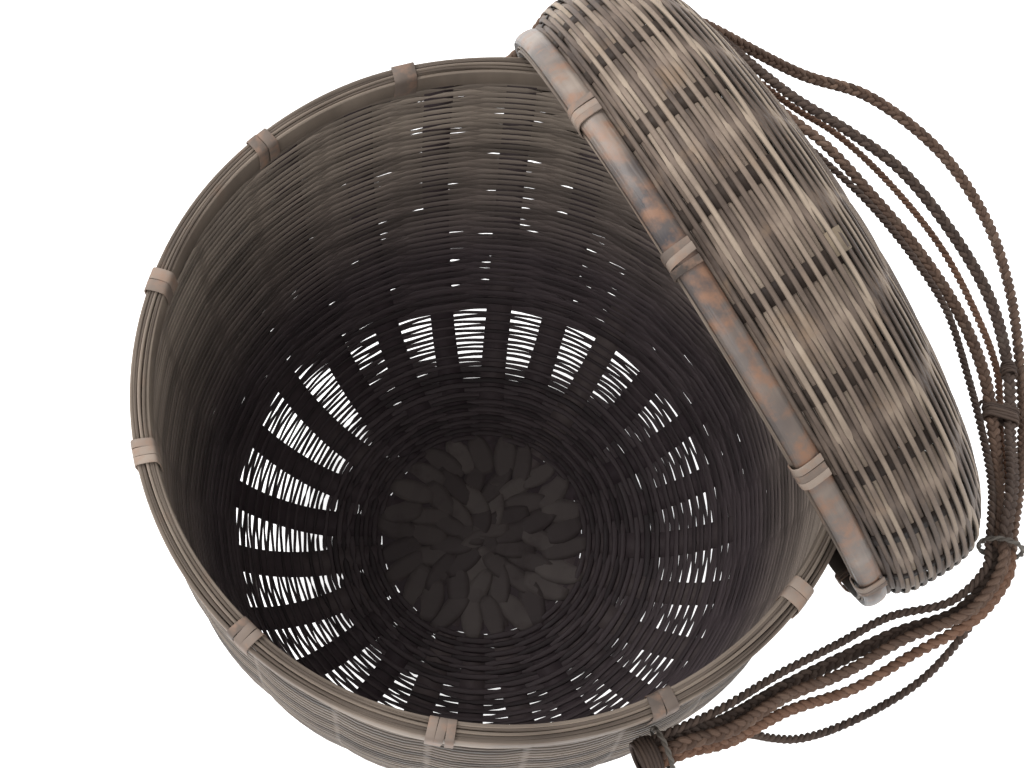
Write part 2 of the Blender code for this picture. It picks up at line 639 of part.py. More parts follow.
def build_cords():
    near_ring = lid_turn() @ ring_through(1)
    far_ring = lid_turn() @ ring_through(-1)
    for index, (diameter, route) in enumerate(NEAR_ROUTES):
        cord(f"near_cord_{index + 1}", diameter, route, lug_direction(), near_ring, "near")
    for index, (diameter, route) in enumerate(FAR_ROUTES):
        cord(f"far_cord_{index + 1}", diameter, route, lug_direction(), far_ring, "far")
    handles = [cord(f"handle_cord_{index + 1}", diameter, route, near_ring, -far_ring)
               for index, (diameter, route) in enumerate(HANDLE_ROUTES)]
    middle, along = along_cord(handles[1], LASHING_SHARE)
    sleeve("handle_lashing", middle, along, along.orthogonal(), 0, THICK_CORD / 2 + LASHING_CLEARANCE, LASHING_WALL,
           LASHING_LENGTH, "knot")
    middle, along = along_cord(handles[1], KNOT_SHARE)
    beside = min((along_cord(handles[2], KNOT_SHARE + step * 0.01)[0] for step in range(-10, 11)),
                 key=lambda place: (place - middle).length)
    across = beside - middle
    sleeve("handle_knot", middle + across / 2, along, across, across.length / 2, THICK_CORD / 2 + KNOT_CLEARANCE,
           KNOT_WALL, KNOT_LENGTH, "knot")


def main():
    clear_scene()
    build_body()
    build_rim()
    frame = lid_frame()
    build_lid(frame)
    build_guides(frame)
    build_cords()


main()
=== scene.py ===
import math

import bmesh
import bpy
import numpy as np
from mathutils import Matrix, Vector


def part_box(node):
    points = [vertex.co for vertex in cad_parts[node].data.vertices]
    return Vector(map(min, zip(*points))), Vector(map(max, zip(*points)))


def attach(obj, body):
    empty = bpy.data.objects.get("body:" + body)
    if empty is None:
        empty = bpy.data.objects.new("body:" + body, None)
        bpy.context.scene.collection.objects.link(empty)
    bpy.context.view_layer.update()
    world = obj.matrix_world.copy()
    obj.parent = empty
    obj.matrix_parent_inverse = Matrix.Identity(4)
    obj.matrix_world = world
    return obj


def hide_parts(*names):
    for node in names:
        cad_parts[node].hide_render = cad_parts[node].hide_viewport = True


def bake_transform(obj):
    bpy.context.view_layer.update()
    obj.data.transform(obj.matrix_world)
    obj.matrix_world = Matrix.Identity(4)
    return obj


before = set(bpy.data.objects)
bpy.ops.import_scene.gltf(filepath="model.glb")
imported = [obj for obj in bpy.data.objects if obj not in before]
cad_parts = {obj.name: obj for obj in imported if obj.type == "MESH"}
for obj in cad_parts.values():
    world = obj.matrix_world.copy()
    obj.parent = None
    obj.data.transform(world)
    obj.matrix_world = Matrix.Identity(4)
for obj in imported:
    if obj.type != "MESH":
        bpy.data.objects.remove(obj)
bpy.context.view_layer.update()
turnAround = 2 * math.pi
print("stage: frame loaded")


# Camera, at the photograph's angle

camera = {"place": (0, -0.28846, 1.03384), "aim": (0.00522, -0.0101, 0.34), "roll": 8.57, "lens": 49.22, "sensor": 36}


def makeCamera():
    data = bpy.data.cameras.new("camera")
    data.lens = camera["lens"]
    data.sensor_width = camera["sensor"]
    eye = bpy.data.objects.new("camera", data)
    ahead = (Vector(camera["aim"]) - Vector(camera["place"])).normalized()
    right = ahead.cross(Vector((0, 0, 1))).normalized()
    up = right.cross(ahead)
    roll = math.radians(camera["roll"])
    right, up = right * math.cos(roll) + up * math.sin(roll), up * math.cos(roll) - right * math.sin(roll)
    turn = Matrix((right, up, -ahead)).transposed().to_4x4()
    eye.matrix_world = Matrix.Translation(camera["place"]) @ turn
    bpy.context.scene.collection.objects.link(eye)
    bpy.context.scene.camera = eye


makeCamera()
bpy.context.scene.view_settings.view_transform = "Standard"
print("stage: camera set")


# Node helpers for the finishes

class finishMaker:
    def __init__(self, name):
        self.material = bpy.data.materials.new(name)
        self.material.use_nodes = True
        self.tree = self.material.node_tree
        self.shader = self.tree.nodes["Principled BSDF"]
        self.shader.inputs["Metallic"].default_value = 0
        self.coords = self.tree.nodes.new("ShaderNodeTexCoord")

    def link(self, source, target):
        self.tree.links.new(source, target)

    def fill(self, socket, value):
        if isinstance(value, bpy.types.NodeSocket):
            self.link(value, socket)
        else:
            socket.default_value = value

    def split(self, vector):
        node = self.tree.nodes.new("ShaderNodeSeparateXYZ")
        self.link(vector, node.inputs[0])
        return node.outputs

    def join(self, x, y, z):
        node = self.tree.nodes.new("ShaderNodeCombineXYZ")
        for socket, value in zip(node.inputs, (x, y, z)):
            self.fill(socket, value)
        return node.outputs[0]

    def maths(self, kind, a, b):
        node = self.tree.nodes.new("ShaderNodeMath")
        node.operation = kind
        self.fill(node.inputs[0], a)
        self.fill(node.inputs[1], b)
        return node.outputs[0]

    def weigh(self, *parts):
        total = self.maths("MULTIPLY", *parts[0])
        for part in parts[1:]:
            total = self.maths("ADD", total, self.maths("MULTIPLY", *part))
        return total

    def noise(self, vector, scale, detail, rough):
        node = self.tree.nodes.new("ShaderNodeTexNoise")
        self.link(vector, node.inputs["Vector"])
        node.inputs["Scale"].default_value = scale
        node.inputs["Detail"].default_value = detail
        node.inputs["Roughness"].default_value = rough
        return node.outputs["Fac"]

    def spread(self, value, low, high, toLow=0.0, toHigh=1.0):
        node = self.tree.nodes.new("ShaderNodeMapRange")
        self.link(value, node.inputs["Value"])
        for name, number in (("From Min", low), ("From Max", high), ("To Min", toLow), ("To Max", toHigh)):
            node.inputs[name].default_value = number
        return node.outputs[0]

    def ramp(self, value, stops):
        node = self.tree.nodes.new("ShaderNodeValToRGB")
        self.link(value, node.inputs[0])
        while len(node.color_ramp.elements) < len(stops):
            node.color_ramp.elements.new(0.5)
        for element, (place, colour) in zip(node.color_ramp.elements, stops):
            element.position = place
            element.color = (*colour, 1)
        return node.outputs[0]

    def mix(self, share, first, second, kind="MIX"):
        node = self.tree.nodes.new("ShaderNodeMix")
        node.data_type = "RGBA"
        node.blend_type = kind
        self.fill(node.inputs[0], share)
        for socket, value in ((node.inputs[6], first), (node.inputs[7], second)):
            self.fill(socket, value if isinstance(value, bpy.types.NodeSocket) else (*value, 1))
        return node.outputs[2]

    def shade(self, colour, share):
        return self.mix(1.0, colour, self.join(share, share, share), "MULTIPLY")

    def attribute(self, name):
        node = self.tree.nodes.new("ShaderNodeAttribute")
        node.attribute_name = name
        return node.outputs["Vector"]

    def bump(self, height, strength, distance):
        node = self.tree.nodes.new("ShaderNodeBump")
        node.inputs["Strength"].default_value = strength
        node.inputs["Distance"].default_value = distance
        self.link(height, node.inputs["Height"])
        self.link(node.outputs[0], self.shader.inputs["Normal"])


# Cane: strands carry their own length, the side that they face and a tone of their own

caneGrain = {
    "across": 5.0, "toneJump": 61.0, "fibre": (4.0, 0.6), "patch": (3.0, 0.55), "blotch": (4.0, 0.6),
    "blotchFiner": 4.3, "crest": (0.2, 0.9), "innerTone": 0.5, "innerPatch": 0.9, "innerLevel": (0.35, 0.95, 0.6, 1.45),
    "innerShadeFacing": (-0.15, 0.35), "gloss": (0.25, 0.75), "depth": 0.0006,
}


def caneFinish(name, look):
    m = finishMaker(name)
    along, facing, tone = m.split(m.attribute("strand"))[:3]
    place = m.coords.outputs["Object"]
    fibreSpace = m.join(m.maths("MULTIPLY", along, look["fibreLength"]),
                        m.maths("MULTIPLY", facing, caneGrain["across"]),
                        m.maths("MULTIPLY", tone, caneGrain["toneJump"]))
    fibres = m.noise(fibreSpace, 1.0, *caneGrain["fibre"])
    patches = m.noise(place, look["patchScale"], *caneGrain["patch"])
    blotches = m.noise(place, look["patchScale"] * caneGrain["blotchFiner"], *caneGrain["blotch"])
    level = m.weigh((tone, look["toneShare"]), (patches, look["patchShare"]), (fibres, look["fibreShare"]))
    level = m.spread(level, look["low"], look["high"])
    colour = m.ramp(level, [(0.0, look["dark"]), (0.5, look["middle"]), (1.0, look["light"])])
    stained = m.spread(blotches, look["stainFrom"], look["stainTo"], 0.0, look["stainShare"])
    colour = m.mix(stained, colour, look["stain"])
    # painted shade: each strand is darkened towards its sides, by grooveShade, where shade falls between neighbouring
    # strands
    colour = m.shade(colour, m.spread(facing, *caneGrain["crest"], look["grooveShade"], 1.0))
    # painted shade: faces turned inwards take a separate inner colour, darker towards the bottom, for the shade inside
    # the basket and the lid
    if "innerShadeLow" in look:
        height = m.split(place)[2]
        inner = m.mix(m.spread(height, look["innerShadeFrom"], look["innerShadeTo"]), look["innerShadeLow"], look["innerShadeHigh"])
        mottle = m.weigh((tone, caneGrain["innerTone"]), (patches, caneGrain["innerPatch"]))
        inner = m.shade(inner, m.spread(mottle, *caneGrain["innerLevel"]))
        colour = m.mix(m.spread(facing, *caneGrain["innerShadeFacing"]), inner, colour)
    m.link(colour, m.shader.inputs["Base Color"])
    m.link(m.spread(fibres, *caneGrain["gloss"], look["smoothest"], look["roughest"]), m.shader.inputs["Roughness"])
    m.shader.inputs["Specular IOR Level"].default_value = look["shine"]
    m.bump(fibres, look["grain"], caneGrain["depth"])
    return m.material


# without the painted shade colours of a basket's inner side
def outsideOnly(look):
    return {key: value for key, value in look.items() if not key.startswith("inner")}


basketCane = {
    "fibreLength": 55.0, "patchScale": 9.0, "toneShare": 0.45, "patchShare": 0.6, "fibreShare": 0.55,
    "low": 0.45, "high": 1.15, "dark": (0.045, 0.035, 0.029), "middle": (0.185, 0.146, 0.117),
    "light": (0.40, 0.33, 0.265), "stain": (0.07, 0.05, 0.04), "stainShare": 0.5, "stainFrom": 0.58, "stainTo": 0.74,
    # the inner colours are painted shade: dark low inside, lighter towards the rim
    "grooveShade": 0.16, "innerShadeLow": (0.074, 0.058, 0.062), "innerShadeHigh": (0.285, 0.235, 0.195), "innerShadeFrom": 0.10,
    "innerShadeTo": 0.27, "smoothest": 0.45, "roughest": 0.70, "shine": 0.22, "grain": 0.35,
}
# the lid's inner colours are dark throughout as painted shade inside the lid
lidCane = dict(basketCane, dark=(0.058, 0.041, 0.034), middle=(0.225, 0.170, 0.134), light=(0.48, 0.385, 0.295),
               stain=(0.30, 0.20, 0.125), grooveShade=0.10, innerShadeLow=(0.05, 0.042, 0.036),
               innerShadeHigh=(0.10, 0.085, 0.07))
stakeCane = dict(basketCane, dark=(0.065, 0.048, 0.055), middle=(0.095, 0.074, 0.080), light=(0.16, 0.13, 0.125),
                 stain=(0.05, 0.036, 0.038), grooveShade=1.0, shine=0.15)
flatCane = outsideOnly(stakeCane)
rosetteCane = dict(flatCane, dark=(0.088, 0.071, 0.072), middle=(0.130, 0.109, 0.106), light=(0.195, 0.168, 0.158),
                   toneShare=0.7, patchShare=0.3, low=0.35, high=1.3)
# painted shade: the lid's stakes are coloured near black for the shade in the gaps between the lid's floats
lidStakeShadeCane = dict(flatCane, dark=(0.018, 0.012, 0.010), middle=(0.038, 0.027, 0.022), light=(0.080, 0.060, 0.048))
hoopCane = dict(outsideOnly(basketCane), fibreLength=22.0, dark=(0.040, 0.030, 0.025), middle=(0.20, 0.156, 0.125),
                light=(0.50, 0.405, 0.325), stain=(0.30, 0.175, 0.115), grooveShade=0.55)
bindingCane = dict(hoopCane, patchScale=30.0, dark=(0.075, 0.060, 0.052), middle=(0.25, 0.196, 0.162),
                   light=(0.45, 0.365, 0.30), stain=(0.34, 0.205, 0.14), stainShare=0.6, stainFrom=0.46, stainTo=0.68,
                   toneShare=0.35, grooveShade=0.8)
bandCane = dict(hoopCane, patchScale=21.0, dark=(0.050, 0.045, 0.050), middle=(0.185, 0.145, 0.122),
                light=(0.42, 0.34, 0.28), stain=(0.30, 0.155, 0.09), stainShare=0.8, stainFrom=0.46, stainTo=0.66,
                low=0.42, high=1.0, grain=0.8, toneShare=0.1, patchShare=0.95, fibreShare=0.25,
                smoothest=0.32, roughest=0.5, shine=0.5)
ringCane = dict(hoopCane, dark=(0.09, 0.08, 0.072), middle=(0.20, 0.175, 0.15), light=(0.33, 0.30, 0.265),
                stainShare=0.1)
patchCane = dict(bindingCane, dark=(0.14, 0.105, 0.075), middle=(0.30, 0.235, 0.165), light=(0.44, 0.36, 0.26),
                 stain=(0.12, 0.085, 0.06), stainShare=0.3)

basketMaterial = caneFinish("basketCane", basketCane)
lidMaterial = caneFinish("lidCane", lidCane)
stakeMaterial = caneFinish("stakeCane", stakeCane)
rosetteMaterial = caneFinish("rosetteCane", rosetteCane)
hubMaterial = caneFinish("hubCane", flatCane)
lidStakeShadeMaterial = caneFinish("lidStakeShadeCane", lidStakeShadeCane)
hoopMaterial = caneFinish("hoopCane", hoopCane)
bindingMaterial = caneFinish("bindingCane", bindingCane)
bandMaterial = caneFinish("bandCane", bandCane)
ringMaterial = caneFinish("ringCane", ringCane)
patchMaterial = caneFinish("patchCane", patchCane)
print("stage: cane finishes made")


# Strands that run round an axis: each is a small section spun round it, then woven by moving its points

def wander(theta, row, rows, seed, orders):
    dice = np.random.default_rng(seed)
    total = np.zeros(len(theta))
    for order in orders:
        phase = dice.uniform(0, turnAround, rows)[row]
        size = dice.uniform(0.3, 1.0, rows)[row]
        total += size * np.sin(order * theta + phase)
    return total / math.sqrt(len(orders))


def roundSection(sides, thick, width, squareness=0.75):
    points = []
    for k in range(sides):
        turn = turnAround * (k + 0.5) / sides
        c, s = math.cos(turn), math.sin(turn)
        points.append((math.copysign(abs(c) ** squareness, c) * thick / 2,
                       math.copysign(abs(s) ** squareness, s) * width / 2))
    return points


def byAzimuth(theta, table):
    turns, shares = zip(*table)
    return np.interp(np.degrees(theta), turns, shares)


nickLook = {"orders": (13, 25, 38), "deepest": 0.5}
openLook = {"edge": 0.006, "uneven": 0.18, "orders": (3, 7, 12), "rows": 3}


def ringStrands(name, strands, look):
    bm = bmesh.new()
    layer = bm.verts.layers.int.new("row")
    for index, strand in enumerate(strands):
        loop = []
        for out, up in strand["section"]:
            vert = bm.verts.new((strand["r"] + out * strand["nr"] - up * strand["nz"], 0,
                                 strand["z"] + out * strand["nz"] + up * strand["nr"]))
            vert[layer] = index
            loop.append(vert)
        for pair in zip(loop, loop[1:] + loop[:1]):
            bm.edges.new(pair)
    bmesh.ops.spin(bm, geom=bm.verts[:] + bm.edges[:], cent=(0, 0, 0), axis=(0, 0, 1), dvec=(0, 0, 0),
                   angle=turnAround, steps=look["samples"], use_merge=True, use_duplicate=False)
    bmesh.ops.recalc_face_normals(bm, faces=bm.faces)
    mesh = bpy.data.meshes.new(name)
    bm.to_mesh(mesh)
    bm.free()
    mesh.shade_smooth()

    count = len(mesh.vertices)
    flat = np.empty(count * 3, np.float32)
    mesh.vertices.foreach_get("co", flat)
    co = flat.reshape(-1, 3).astype(float)
    row = np.empty(count, np.int32)
    mesh.attributes["row"].data.foreach_get("value", row)
    theta = np.arctan2(co[:, 1], co[:, 0])
    radius = np.hypot(co[:, 0], co[:, 1])
    get = {key: np.array([strand[key] for strand in strands])[row] for key in ("r", "z", "nr", "nz", "thick")}
    dr, dz = radius - get["r"], co[:, 2] - get["z"]
    out = dr * get["nr"] + dz * get["nz"]
    up = dz * get["nr"] - dr * get["nz"]
    rows, seed = len(strands), look["seed"]
    swing = np.zeros(count)
    if "stakes" in look:
        beat = math.pi * (theta - look["phase"]) / (turnAround / look["stakes"])
        swing = np.cos(beat + math.pi * row) + look.get("outside", 0)
        swing = np.tanh(look["hold"] * swing) / math.tanh(look["hold"])
    girth = 1 + look.get("swell", 0) * np.abs(swing) + look["uneven"] * wander(theta, row, rows, seed, (1, 2, 5, 9))
    loose = look["stray"] * wander(theta, row, rows, seed + 1, look.get("strayOrders", (1, 2, 3, 5)))
    sway = look.get("sway", 0) * wander(theta, np.zeros(count, int), 1, seed + 2, (1, 2, 3))
    proud = look.get("proud", 0) * wander(theta, row, rows, seed + 3, (2, 3, 5, 8))
    girth = girth + look.get("meet", 0) * (1 - np.abs(swing))
    if "nick" in look:
        thin = wander(theta, row, rows, seed + 8, nickLook["orders"]) - look["nickFrom"]
        girth = girth - look["nick"] * np.clip(thin, 0, nickLook["deepest"]) * byAzimuth(theta, look["nickAt"])
    if "closing" in look:
        past = (get["r"] - byAzimuth(theta, look["openFrom"])) / openLook["edge"]
        openness = byAzimuth(theta, look["openAt"]) * np.clip(past + 0.5, 0.0, 1)
        ragged = wander(theta, row // openLook["rows"], rows, seed + 6, openLook["orders"])
        openness = openness * (1 + openLook["uneven"] * ragged)
        girth = girth * (1 + look["closing"] * (1 - np.clip(openness, 0, 1.1)))
    if "bunch" in look:
        between = np.sin(beat) ** 2
        loose = loose + look["bunch"] * between * wander(theta, row // 4, rows, seed + 4, (1, 2))
    lift = look.get("lift", 0) * np.where((out > 0) & (swing > 0), look.get("outerLift", 1), 1)
    newOut = out + lift * swing + proud
    newUp = up * girth + loose + sway
    r = get["r"] + newOut * get["nr"] - newUp * get["nz"]
    co[:, 2] = get["z"] + newOut * get["nz"] + newUp * get["nr"]
    co[:, 0], co[:, 1] = r * np.cos(theta), r * np.sin(theta)
    mesh.vertices.foreach_set("co", co.astype(np.float32).ravel())

    seam = look.get("seam", 0.6)
    tones = np.random.default_rng(seed + 5).uniform(0, 1, rows)[row]
    length = np.mod(theta - seam, turnAround) * get["r"] + tones * 3
    facing = np.clip(out / (get["thick"] / 2), -1, 1)
    setStrand(mesh, length, facing, tones)
    return placed(name, mesh)


def setStrand(mesh, length, facing, tone):
    data = np.stack([length, facing, tone], 1).astype(np.float32)
    attribute = mesh.attributes.get("strand") or mesh.attributes.new("strand", "FLOAT_VECTOR", "POINT")
    attribute.data.foreach_set("vector", data.ravel())


def placed(name, mesh):
    piece = bpy.data.objects.new(name, mesh)
    bpy.context.scene.collection.objects.link(piece)
    return piece


def finishPiece(piece, material, slot, body, *nodes, turn=None):
    if turn is not None:
        piece.data.transform(turn)
    piece.data.materials.clear()
    piece.data.materials.append(material)
    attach(piece, body)
    if nodes:
        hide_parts(*nodes)
    return piece


# Profiles, as (radius, height) in millimetres, read through a smooth curve and walked by length

def smoothLine(points, step):
    line = [np.array(point, float) for point in points]
    line = [2 * line[0] - line[1], *line, 2 * line[-1] - line[-2]]
    fine = []
    for before, here, there, after in zip(line, line[1:], line[2:], line[3:]):
        t0, t1 = 0.0, math.sqrt(np.linalg.norm(here - before))
        t2 = t1 + math.sqrt(np.linalg.norm(there - here))
        t3 = t2 + math.sqrt(np.linalg.norm(after - there))
        for t in np.linspace(t1, t2, 24, endpoint=False):
            a = before + (here - before) * (t - t0) / (t1 - t0)
            b = here + (there - here) * (t - t1) / (t2 - t1)
            c = there + (after - there) * (t - t2) / (t3 - t2)
            d = a + (b - a) * (t - t0) / (t2 - t0)
            e = b + (c - b) * (t - t1) / (t3 - t1)
            fine.append(d + (e - d) * (t - t1) / (t2 - t1))
    fine.append(line[-2])
    fine = np.array(fine)
    lengths = np.r_[0, np.cumsum(np.linalg.norm(np.diff(fine, axis=0), axis=1))]
    count = max(2, int(round(lengths[-1] / step)))
    wanted = np.linspace(0, lengths[-1], count + 1)
    return np.stack([np.interp(wanted, lengths, fine[:, k]) for k in range(fine.shape[1])], 1), lengths[-1]


class profileWalk:
    def __init__(self, points, depth):
        self.line, self.length = smoothLine([(r / 1000, z / 1000) for r, z in points], 0.0005)
        self.steps = np.linspace(0, self.length, len(self.line))
        ahead = np.gradient(self.line, axis=0)
        ahead /= np.linalg.norm(ahead, axis=1)[:, None]
        self.normal = np.stack([ahead[:, 1], -ahead[:, 0]], 1)
        self.middle = self.line - self.normal * depth

    def at(self, length):
        r, z = (float(np.interp(length, self.steps, self.middle[:, k])) for k in (0, 1))
        nr, nz = (float(np.interp(length, self.steps, self.normal[:, k])) for k in (0, 1))
        return r, z, nr, nz

    def reach(self, radius=None, height=None):
        target, axis = (radius, 0) if height is None else (height, 1)
        return float(self.steps[int(np.argmax(self.line[:, axis] >= target))])


def wefts(walk, start, end, look):
    rows = []
    count = max(1, int(round((end - start) / look["pitch"])))
    section = roundSection(look["sides"], look["thick"], look["width"])
    for k in range(count):
        r, z, nr, nz = walk.at(start + (end - start) * (k + 0.5) / count)
        rows.append({"r": r, "z": z, "nr": nr, "nz": nz, "thick": look["thick"], "section": section})
    return rows


def weave(name, walk, start, end, look, material, slot, body, node, turn=None):
    piece = ringStrands(name, wefts(walk, start, end, look), look)
    finishPiece(piece, material, slot, body, node, turn=turn)


# The basket's woven base, open shoulder and wall

basketShape = {
    "profile": [(76, 0), (97, 0), (118, 0.3), (135, 6), (155, 22), (172, 46), (186, 80), (196, 125), (201, 175),
                (202, 220), (199.2, 270), (196.2, 310.6), (195.7, 322), (195.7, 334)],
    "stakes": 24, "phase": math.radians(3.5), "depth": 0.00195, "firstRow": 0.0008, "baseTo": 0.113,
    "wallFrom": 0.046, "thinTo": 0.064, "topGap": 0.001,
}
# how far the light gets through between the stakes, by the way that the wall faces
openAt = [(-180, 1.0), (-160, 0.9), (-140, 0.7), (-110, 0.6), (-92, 0.3), (-62, 0.3), (-48, 0.6), (-35, 0.5),
          (-22, 0.3), (0, 0.3), (25, 0.4), (50, 0.5), (62, 0.8), (90, 0.9), (112, 0.8), (122, 0.3), (136, 0.4),
          (144, 0.9), (180, 1.0)]
lowOpenAt = [(-180, 0.9), (-150, 0.6), (-120, 0.3), (-60, 0.1), (60, 0.15), (120, 0.1), (142, 0.5), (160, 0.9),
             (180, 0.9)]
# the radius on the base from which it does
openFrom = [(-180, 0.116), (-100, 0.118), (-70, 0.135), (-50, 0.145), (0, 0.150), (45, 0.150), (62, 0.136),
            (112, 0.136), (124, 0.160), (137, 0.150), (146, 0.117), (180, 0.116)]
# how much the rows thin out in places
nickAt = [(-180, 0.3), (-120, 0.2), (0, 0.3), (30, 0.6), (60, 1.0), (105, 1.0), (130, 0.5), (180, 0.3)]
baseNickAt = [(-180, 1.0), (-110, 0.9), (-60, 0.2), (120, 0.2), (145, 0.9), (180, 1.0)]
baseWeave = {"samples": 144, "stakes": 24, "phase": basketShape["phase"], "lift": 0.0009, "hold": 1.4, "uneven": 0.06,
             "stray": 0.00016, "swell": 0.25, "seed": 11, "meet": 0.25, "nick": 2.2, "nickFrom": 0.35,
             "nickAt": baseNickAt, "pitch": 0.0033, "width": 0.0036, "thick": 0.0016, "sides": 6}
shoulderWeave = dict(baseWeave, stray=0.00060, uneven=0.16, seed=23, bunch=0.0009, closing=0.75, swell=0.1,
                     openAt=openAt, openFrom=openFrom, meet=0.0, nick=1.6, nickFrom=0.45,
                     pitch=0.0041, width=0.0025, thick=0.0015)
lowWallWeave = dict(shoulderWeave, stray=0.00045, seed=41, bunch=0.0006, closing=0.85, swell=0.2, openAt=lowOpenAt,
                    pitch=0.0040, width=0.0030, thick=0.0016)
wallWeave = dict(baseWeave, lift=0.0006, uneven=0.05, seed=37, sway=0.0006, bunch=0.0002, swell=0.42, meet=0.60,
                 nick=3.0, nickFrom=0.52, nickAt=nickAt, outerLift=2.3, pitch=0.0034, width=0.0038, thick=0.0014)


def weaveBasket():
    walk = profileWalk(basketShape["profile"], basketShape["depth"])
    baseEnd = walk.reach(radius=basketShape["baseTo"])
    wallFrom = walk.reach(height=basketShape["wallFrom"])
    thinTo = walk.reach(height=basketShape["thinTo"])
    for name, start, end, look, slot, node in (
            ("base_wefts", basketShape["firstRow"], baseEnd, baseWeave, "dark_weave", "base_weave"),
            ("shoulder_wefts", baseEnd, wallFrom, shoulderWeave, "dark_weave", "shoulder_weave"),
            ("low_wall_wefts", wallFrom, thinTo, lowWallWeave, "wall_weave", "wall_weave"),
            ("high_wall_wefts", thinTo, walk.length - basketShape["topGap"], wallWeave, "wall_weave", "wall_weave")):
        weave(name, walk, start, end, look, basketMaterial, slot, "basket", node)
    print("stage: basket woven")
    return walk


basketWalk = weaveBasket()


# Flat stakes, bent along a profile, and the crossed strips in the middle of the base

def strip(bm, centres, acrosses):
    verts = [bm.verts.new(centres[0] + side * acrosses[0]) for side in (-1, 1)]
    edge = bm.edges.new(verts)
    made = list(verts)
    for centre, across in zip(centres[1:], acrosses[1:]):
        grown = bmesh.ops.extrude_edge_only(bm, edges=[edge])["geom"]
        edge = next(item for item in grown if isinstance(item, bmesh.types.BMEdge))
        ends = sorted(edge.verts, key=lambda vert: (vert.co - made[-2].co).length)
        for vert, side in zip(ends, (-1, 1)):
            vert.co = centre + side * across
        made += ends
    return made


def solidPiece(name, bm, thick, tones, lengths, bevel=0.0):
    mesh = bpy.data.meshes.new(name)
    bmesh.ops.recalc_face_normals(bm, faces=bm.faces)
    bm.to_mesh(mesh)
    bm.free()
    mesh.shade_smooth()
    setStrand(mesh, np.array(lengths), np.full(len(lengths), 0.9), np.array(tones))
    piece = placed(name, mesh)
    solid = piece.modifiers.new("thickness", "SOLIDIFY")
    solid.thickness = thick
    solid.offset = 0
    if bevel:
        soft = piece.modifiers.new("softEdge", "BEVEL")
        soft.width = bevel
        soft.segments = 2
    return piece


# keeps the grain of one splint from running on in the next
toneShift = 5
stakeLook = {"width": 0.019, "fill": 0.66, "thick": 0.0007, "seed": 5, "growth": (0.9, 1.08), "waver": 0.0004,
             "waves": 30, "steps": 56, "hubRadii": (0.060, 0.068), "hubHeight": 0.0022, "fibreStep": 0.01}


def layStakes(name, shape, walk, look, material, body, node, turn=None):
    bm = bmesh.new()
    tones, lengths = [], []
    dice = np.random.default_rng(look["seed"])
    pitch = turnAround / shape["stakes"]
    for index in range(shape["stakes"]):
        way = shape["phase"] + index * pitch
        along = Vector((math.cos(way), math.sin(way), 0))
        across = Vector((-along.y, along.x, 0))
        grow = dice.uniform(*look["growth"])
        waver = dice.uniform(0, turnAround) if look["waver"] else 0
        centres, halves = [], []
        for radius in look["hubRadii"]:
            centres.append(along * radius + Vector((0, 0, look["hubHeight"])))
            halves.append(across * look["fill"] * pitch * radius / 2)
        for step in np.linspace(0, walk.length, look["steps"]):
            r, z, nr, nz = walk.at(step)
            side = look["waver"] * math.sin(waver + step * look["waves"])
            centres.append(along * r + across * side + Vector((0, 0, z)))
            halves.append(across * min(look["width"] * grow, look["fill"] * pitch * r) / 2)
        if "tip" in look:
            radius, rise, half = look["tip"]
            centres.append(along * radius + Vector((0, 0, centres[-1].z + rise)))
            halves.append(across * half)
        made = strip(bm, centres, halves)
        tone = dice.uniform(0, 1)
        tones += [tone] * len(made)
        lengths += [look["fibreStep"] * (k // 2) + tone * toneShift for k in range(len(made))]
    piece = solidPiece(name, bm, look["thick"], tones, lengths)
    finishPiece(piece, material, "stake_splint", body, node, turn=turn)


# each ring: its radius, how many leaves, and a leaf's width and length
rosetteLook = {
    "rings": [(0.0635, 25, 0.018, 0.034), (0.042, 17, 0.0165, 0.034), (0.025, 11, 0.016, 0.032),
              (0.009, 5, 0.0155, 0.027)],
    "thick": 0.0005, "dome": 0.0005, "tilt": 0.0013, "level": 0.0026, "seed": 9, "spacing": 0.12, "skew": (0.15, 0.5),
    "shift": 0.002, "reach": (0.9, 1.1), "half": (0.85, 1.1), "taper": 0.55, "taperPower": 2.2, "ringRise": 0.0005,
    "roll": 0.6, "slope": 0.5, "droop": 0.6,
}


# a flat stake shows as a leaf between the places where others cross it, each ring lying on the one outside it
def layRosette(name, look, material, body, turn=None):
    bm = bmesh.new()
    tones, lengths = [], []
    dice = np.random.default_rng(look["seed"])
    for ring, (radius, count, width, length) in enumerate(look["rings"]):
        start = dice.uniform(0, turnAround)
        for index in range(count):
            way = start + turnAround * (index + dice.uniform(-look["spacing"], look["spacing"])) / count
            aim = way + dice.choice((-1, 1)) * dice.uniform(*look["skew"])
            along = Vector((math.cos(aim), math.sin(aim), 0))
            across = Vector((-along.y, along.x, 0))
            shift = dice.uniform(-look["shift"], look["shift"])
            centre = Vector((math.cos(way), math.sin(way), 0)) * (radius + shift)
            lean = dice.uniform(-1, 1)
            reach, half = length / 2 * dice.uniform(*look["reach"]), width / 2 * dice.uniform(*look["half"])
            leaf = bmesh.ops.create_grid(bm, x_segments=6, y_segments=4, size=1)["verts"]
            tone = dice.uniform(0, 1)
            for vert in leaf:
                s, t = vert.co.x, vert.co.y
                narrow = 1 - look["taper"] * abs(s) ** look["taperPower"]
                rise = look["dome"] * (1 - t * t) + look["tilt"] * (lean * t * look["roll"] - s * look["slope"])
                height = look["level"] + look["ringRise"] * ring + rise * (1 - look["droop"] * abs(s) ** 3)
                vert.co = centre + along * s * reach + across * t * half * narrow + Vector((0, 0, height))
                lengths.append(s * reach + tone * toneShift)
                tones.append(tone)
    piece = solidPiece(name, bm, look["thick"], tones, lengths)
    finishPiece(piece, material, "stake_splint", body, turn=turn)


